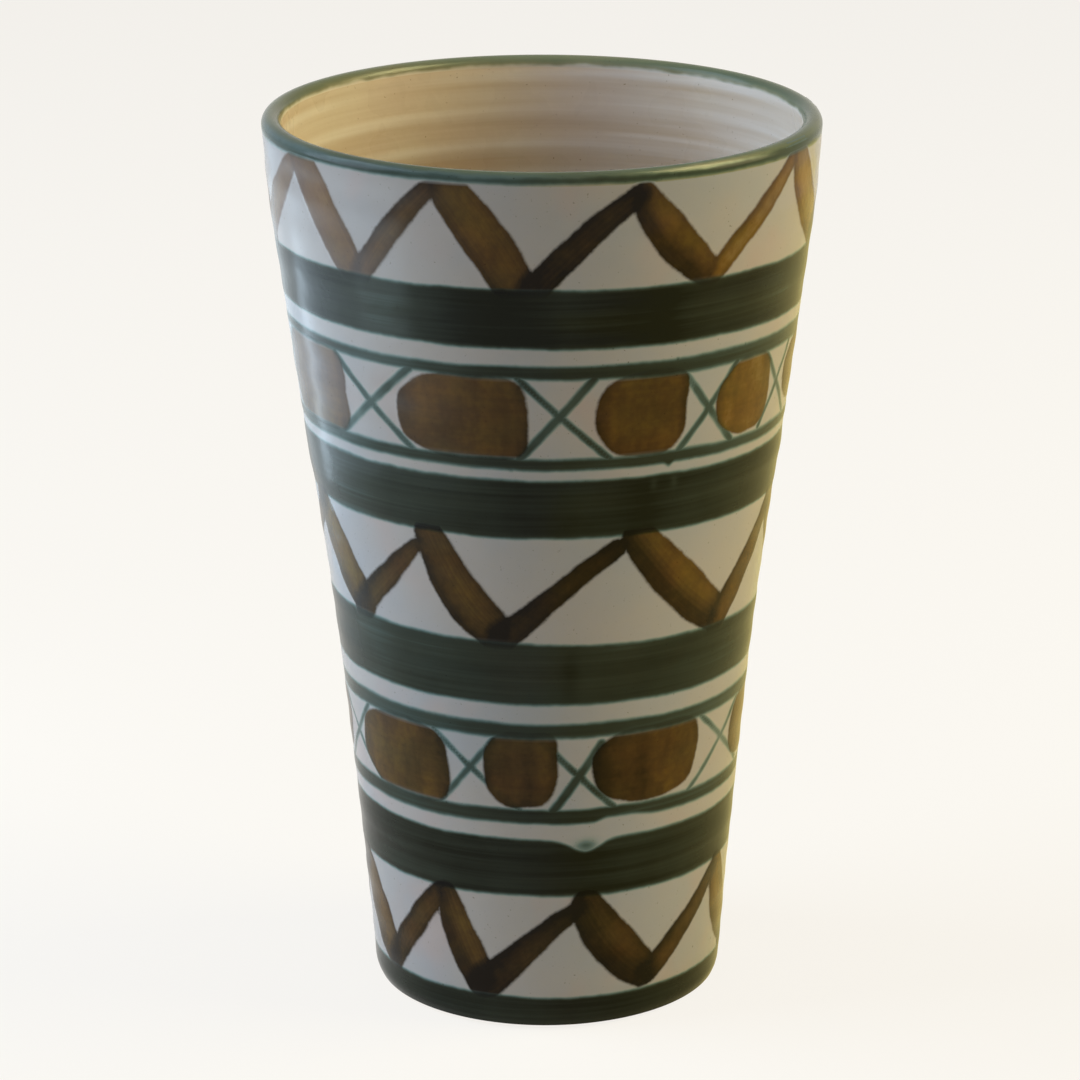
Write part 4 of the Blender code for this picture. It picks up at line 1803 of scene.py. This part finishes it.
@dataclass(frozen=True)
class Lamp:
    """A soft panel lamp that looks at the vase, and whether it only shows in the gloss."""

    name: str
    place: tuple[float, float, float]
    size: tuple[float, float]
    power: float
    colour: tuple[float, float, float]
    gloss_only: bool = False

    def build(self, target: np.ndarray) -> None:
        """Builds the lamp.

        Args:
            target: the place that it looks at.
        """
        lamp = bpy.data.lights.new(self.name, "AREA")
        lamp.shape = "RECTANGLE"
        lamp.size, lamp.size_y = self.size
        lamp.energy = self.power
        lamp.color = self.colour
        obj = bpy.data.objects.new(self.name, lamp)
        aim = target - np.array(self.place)
        aim = aim / np.linalg.norm(aim)
        right = np.cross(aim, (0.0, 0.0, 1.0))
        right = right / np.linalg.norm(right)
        obj.matrix_world = stand(right, np.cross(right, aim), aim, self.place)
        obj.visible_camera = False
        obj.visible_diffuse = not self.gloss_only
        bpy.context.scene.collection.objects.link(obj)


@dataclass(frozen=True)
class Board:
    """A board flat on the floor beside the vase, which tints the gloss and shows nowhere else."""

    name: str
    middle: tuple[float, float]
    size: tuple[float, float]
    colour: Colour
    strength: float
    fade: Span
    level: float = 0.0004

    def build(self) -> None:
        """Builds the board, which only the gloss sees."""
        bpy.ops.mesh.primitive_plane_add(size=1.0, location=(*self.middle, self.level))
        obj = bpy.context.object
        obj.name = self.name
        obj.scale = (*self.size, 1.0)
        recipe = Recipe.named(self.name)
        share = recipe.parts(recipe.place()).rise(*self.fade)
        clear = recipe.node("ShaderNodeBsdfTransparent")
        glow = recipe.node("ShaderNodeEmission", {}, {"Color": self.colour, "Strength": self.strength})
        recipe.close(recipe.node("ShaderNodeMixShader", {}, {0: share, 1: clear, 2: glow}))
        obj.data.materials.append(recipe.owner)
        obj.visible_camera = False
        obj.visible_diffuse = False
        obj.visible_transmission = False
        obj.visible_shadow = False


@dataclass
class Studio:
    """The floor, the light with its two boards, and the camera."""

    background: Colour = shade(251, 248, 243)
    room: Colour = shade(255, 252, 246)
    floor_size: float = 8.0
    floor_level: float = -0.0003
    floor_cover: float = 0.88
    fill: float = 0.15
    lamps: tuple[Lamp, ...] = (
        Lamp("cool_side", (-1.15, 0.0, 0.80), (0.9, 1.2), 22.5, (0.64, 0.80, 1.0)),
        Lamp("warm_side", (1.15, -0.05, 0.80), (0.8, 1.1), 18.6, (1.0, 0.85, 0.43)),
        Lamp("low_window", (-0.285, 0.065, 0.065), (0.25, 0.10), 0.17, (0.62, 0.82, 1.0)),
        Lamp("low_window_end", (-0.215, -0.190, 0.065), (0.09, 0.10), 0.010, (0.62, 0.82, 1.0)),
        Lamp("window_bar", (-0.255, 0.175, 0.048), (0.045, 0.075), 0.034, (0.70, 0.86, 1.0)),
        Lamp("sheen", (-0.262, -0.105, 0.082), (0.12, 0.07), 0.10, (0.66, 0.86, 1.0), True),
        Lamp("rim_sheen", (0.39, -0.05, 0.57), (0.26, 0.34), 5.0, (1.0, 0.93, 0.50), True),
    )
    boards: tuple[Board, ...] = (
        Board("warm_board", (0.27, 0.20), (0.60, 1.10), (1.0, 0.84, 0.33, 1.0), 1.0, (-0.5, -0.37)),
        Board("cool_board", (-0.27, 0.20), (0.60, 1.10), (0.84, 0.94, 1.0, 1.0), 1.55, (0.24, 0.05)),
    )
    lamp_target: tuple[float, float, float] = (0.0, 0.0, 0.10)
    camera_place: tuple[float, float, float] = (0.0, -0.9157, 0.39185)
    camera_pitch: float = 0.30240
    camera_yaw: float = -0.00120
    camera_roll: float = -0.00647
    lens: float = 136.34
    sensor: float = 36.0

    def build_floor(self) -> None:
        """A plain pale floor that keeps a light shadow."""
        bpy.ops.mesh.primitive_plane_add(size=self.floor_size, location=(0.0, 0.0, self.floor_level))
        floor = bpy.context.object
        floor.name = "pale_floor"
        recipe = Recipe.named("pale_floor")
        shown = recipe.shown_rays() * self.floor_cover
        matt = recipe.node("ShaderNodeBsdfDiffuse", {}, {"Color": self.background})
        glow = recipe.node("ShaderNodeEmission", {}, {"Color": self.background, "Strength": 1.0})
        recipe.close(recipe.node("ShaderNodeMixShader", {}, {0: shown, 1: matt, 2: glow}))
        floor.data.materials.append(recipe.owner)

    def build_light(self) -> None:
        """Soft light from all round, the lamps, and the boards that tint the gloss."""
        world = bpy.data.worlds.new("soft_room")
        bpy.context.scene.world = world
        recipe = Recipe(world)
        soft = recipe.node("ShaderNodeBackground", {}, {"Color": self.room, "Strength": self.fill})
        back = recipe.node("ShaderNodeBackground", {}, {"Color": self.background, "Strength": 1.0})
        recipe.close(recipe.node("ShaderNodeMixShader", {}, {0: recipe.shown_rays(), 1: soft, 2: back}))
        for lamp in self.lamps:
            lamp.build(np.array(self.lamp_target))
        for board in self.boards:
            board.build()

    def build_camera(self) -> None:
        """The camera at the angle of the photograph."""
        camera = bpy.data.cameras.new("photo_camera")
        camera.sensor_fit = "HORIZONTAL"
        camera.sensor_width = self.sensor
        camera.lens = self.lens
        obj = bpy.data.objects.new("photo_camera", camera)
        pitch, yaw, roll = self.camera_pitch, self.camera_yaw, self.camera_roll
        forward = math.cos(pitch)
        ahead = np.array((math.sin(yaw) * forward, math.cos(yaw) * forward, -math.sin(pitch)))
        level = np.array((math.cos(yaw), -math.sin(yaw), 0.0))
        plumb = np.cross(level, ahead)
        right = math.cos(roll) * level + math.sin(roll) * plumb
        up = math.cos(roll) * plumb - math.sin(roll) * level
        obj.matrix_world = stand(right, up, ahead, self.camera_place)
        bpy.context.scene.collection.objects.link(obj)
        bpy.context.scene.camera = obj

    def build(self) -> None:
        """Builds the floor, the light and the camera."""
        self.build_floor()
        self.build_light()
        self.build_camera()
        bpy.context.scene.view_settings.view_transform = "Standard"
        LOG.info("studio: floor, %d lamps, %d boards and camera", len(self.lamps), len(self.boards))


def zigzags(wall: Wall) -> list[Zigzag]:
    """The three zigzags with the strokes that the front shows.

    Args:
        wall: the wall that carries them.

    Returns:
        The zigzags from the top down.
    """
    top = (
        Stroke((-80.0, 184.0), (-70.0, 194.3), (-60.8, 203.5), (6.5, 7.4, 4.5), 0.62, 0.12),
        Stroke((-57.1, 205.5), (-49.6, 194.0), (-43.5, 183.5), (9.5, 10.0, 9.0), 0.58, 0.10),
        Stroke((-40.3, 181.5), (-32.6, 192.3), (-22.6, 203.4), (5.0, 5.7, 4.2), 0.84),
        Stroke((-19.6, 204.9), (-12.8, 194.5), (-6.5, 184.0), (8.4, 10.6, 10.0), 0.70, 0.12),
        Stroke((-2.1, 181.7), (9.0, 193.2), (18.8, 202.1), (6.5, 6.1, 4.6), 0.98, 0.06),
        Stroke((20.2, 202.0), (25.9, 192.6), (35.0, 183.5), (6.0, 9.6, 7.5), 0.77, 0.22, 0.6),
        Stroke((37.0, 182.0), (48.9, 193.3), (60.3, 204.0), (5.2, 5.5, 3.8), 0.55),
        Stroke((63.6, 204.0), (68.9, 194.5), (78.6, 183.5), (7.0, 10.8, 9.0), 0.47),
    )
    middle = (
        Stroke((-72.0, 121.5), (-62.0, 109.4), (-54.5, 101.5), (9.5, 11.2, 9.5), 0.66),
        Stroke((-56.0, 99.0), (-42.8, 110.5), (-32.8, 119.0), (6.2, 5.7, 3.2), 0.84),
        Stroke((-29.0, 122.5), (-21.6, 109.0), (-13.5, 100.5), (7.5, 11.0, 9.5), 0.81, 0.20, 0.2),
        Stroke((-10.8, 98.7), (3.6, 109.9), (17.6, 120.1), (7.0, 5.3, 4.8), 0.97, 0.08),
        Stroke((23.2, 122.2), (35.0, 109.6), (47.7, 100.2), (8.0, 11.0, 9.5), 0.75, 0.24, 0.6),
        Stroke((50.5, 97.4), (62.1, 108.2), (73.1, 119.5), (8.0, 6.9, 5.5), 0.72, 0.10),
        Stroke((76.0, 121.5), (85.0, 110.0), (95.0, 101.0), (8.0, 11.0, 9.5), 0.60),
    )
    bottom = (
        Stroke((-76.6, 31.5), (-66.2, 18.8), (-59.4, 11.0), (9.5, 11.4, 8.2), 0.74),
        Stroke((-58.2, 9.8), (-46.2, 22.0), (-34.6, 32.5), (5.6, 6.2, 4.6), 0.87, 0.12),
        Stroke((-32.3, 33.0), (-27.2, 21.0), (-21.3, 11.0), (5.5, 8.9, 8.5), 0.81, 0.17, 0.5),
        Stroke((-19.0, 11.3), (-3.6, 22.4), (9.3, 30.6), (8.5, 6.1, 4.4), 0.97, 0.12, 0.5),
        Stroke((12.5, 31.8), (20.3, 21.2), (32.0, 12.5), (7.5, 11.2, 9.0), 0.88, 0.14, 0.6),
        Stroke((33.5, 11.5), (48.3, 20.8), (62.5, 31.5), (6.5, 5.8, 4.2), 0.84, 0.14),
        Stroke((66.0, 32.0), (71.5, 21.0), (80.0, 12.5), (6.5, 10.5, 9.0), 0.60),
    )
    return [
        Zigzag(wall, "top", RIM_STRIPE, WIDE_STRIPES[0], top, 5, False, 11),
        Zigzag(wall, "middle", WIDE_STRIPES[1], WIDE_STRIPES[2], middle, 3, True, 12),
        Zigzag(wall, "bottom", WIDE_STRIPES[3], FOOT_STRIPE, bottom, 4, True, 13),
    ]


def lattices(wall: Wall) -> list[Lattice]:
    """The two registers of crosses and ovals, with those that the front shows.

    Args:
        wall: the wall that carries them.

    Returns:
        The registers from the top down.
    """
    upper_crosses = (
        Cross(((-50.8, 160.6), (-31.3, 143.1)), ((-52.8, 142.8), (-31.3, 160.8)), 1.8, 2.0),
        Cross(((-5.5, 161.1), (15.0, 141.6)), ((-6.2, 141.6), (11.0, 161.1)), 1.6, 2.1),
        Cross(((30.8, 161.5), (46.5, 142.5)), ((32.0, 142.0), (48.0, 161.5)), 1.9, 1.8),
        Cross(((57.5, 161.0), (73.5, 143.0)), ((59.5, 143.0), (72.0, 160.0)), 1.4, 1.4),
    )
    upper_unseen = (107.7, 149.8, 192.0, 234.2, 276.3)
    upper_ovals = (
        Oval(-34.2, -3.4, 141.6, 161.6, 2.4, 4.6, 4.6, 0.61, -0.04),
        Oval(11.4, 33.3, 141.5, 161.6, 2.4, 3.2, 5.0, 0.62, 0.02),
        Oval(41.4, 61.7, 141.9, 160.4, 2.0, 3.0, 3.4, 0.44, 0.03),
        Oval(70.0, 103.0, 143.0, 160.4, 2.3, 3.0, 4.2, 0.52),
    )
    upper_last = Oval(-79.5, -49.6, 142.4, 162.8, 3.4, 7.0, 7.0, 0.56)
    lower_crosses = (
        Cross(((-79.0, 74.0), (-57.0, 57.0)), ((-79.0, 57.0), (-61.0, 73.0)), 1.3, 1.4),
        Cross(((-31.5, 73.5), (-9.0, 57.0)), ((-32.0, 56.0), (-14.0, 74.0)), 1.5, 1.6),
        Cross(((0.5, 72.0), (19.5, 56.0)), ((2.0, 56.0), (14.5, 71.0)), 1.7, 2.2),
        Cross(((47.5, 74.5), (73.0, 57.5)), ((46.0, 56.0), (69.0, 73.0)), 1.4, 1.4),
    )
    lower_unseen = (106.8, 152.6, 198.4, 244.2)
    lower_ovals = (
        Oval(-64.3, -28.0, 55.3, 75.4, 2.4, 4.6, 2.7, 0.62, -0.07),
        Oval(-18.0, 3.2, 56.5, 75.6, 2.4, 3.0, 6.0, 0.68, -0.02),
        Oval(12.7, 47.8, 56.3, 75.2, 2.4, 2.8, 5.0, 0.67, 0.09),
        Oval(65.5, 98.0, 57.0, 75.0, 2.4, 2.8, 4.0, 0.50),
    )
    return [
        Lattice(wall, "upper", UPPER_LINES, upper_crosses, upper_unseen, upper_ovals, upper_last, 21),
        Lattice(wall, "lower", LOWER_LINES, lower_crosses, lower_unseen, lower_ovals, None, 22),
    ]


def main() -> None:
    """Builds the vase and its studio."""
    logging.basicConfig(level=logging.INFO, format="%(message)s")
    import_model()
    wall = Wall()
    Studio().build()
    Vessel(wall).build()
    Bands(wall).build()
    for zigzag in zigzags(wall):
        zigzag.build()
    for lattice in lattices(wall):
        lattice.build()


if __name__ == "__main__":
    main()
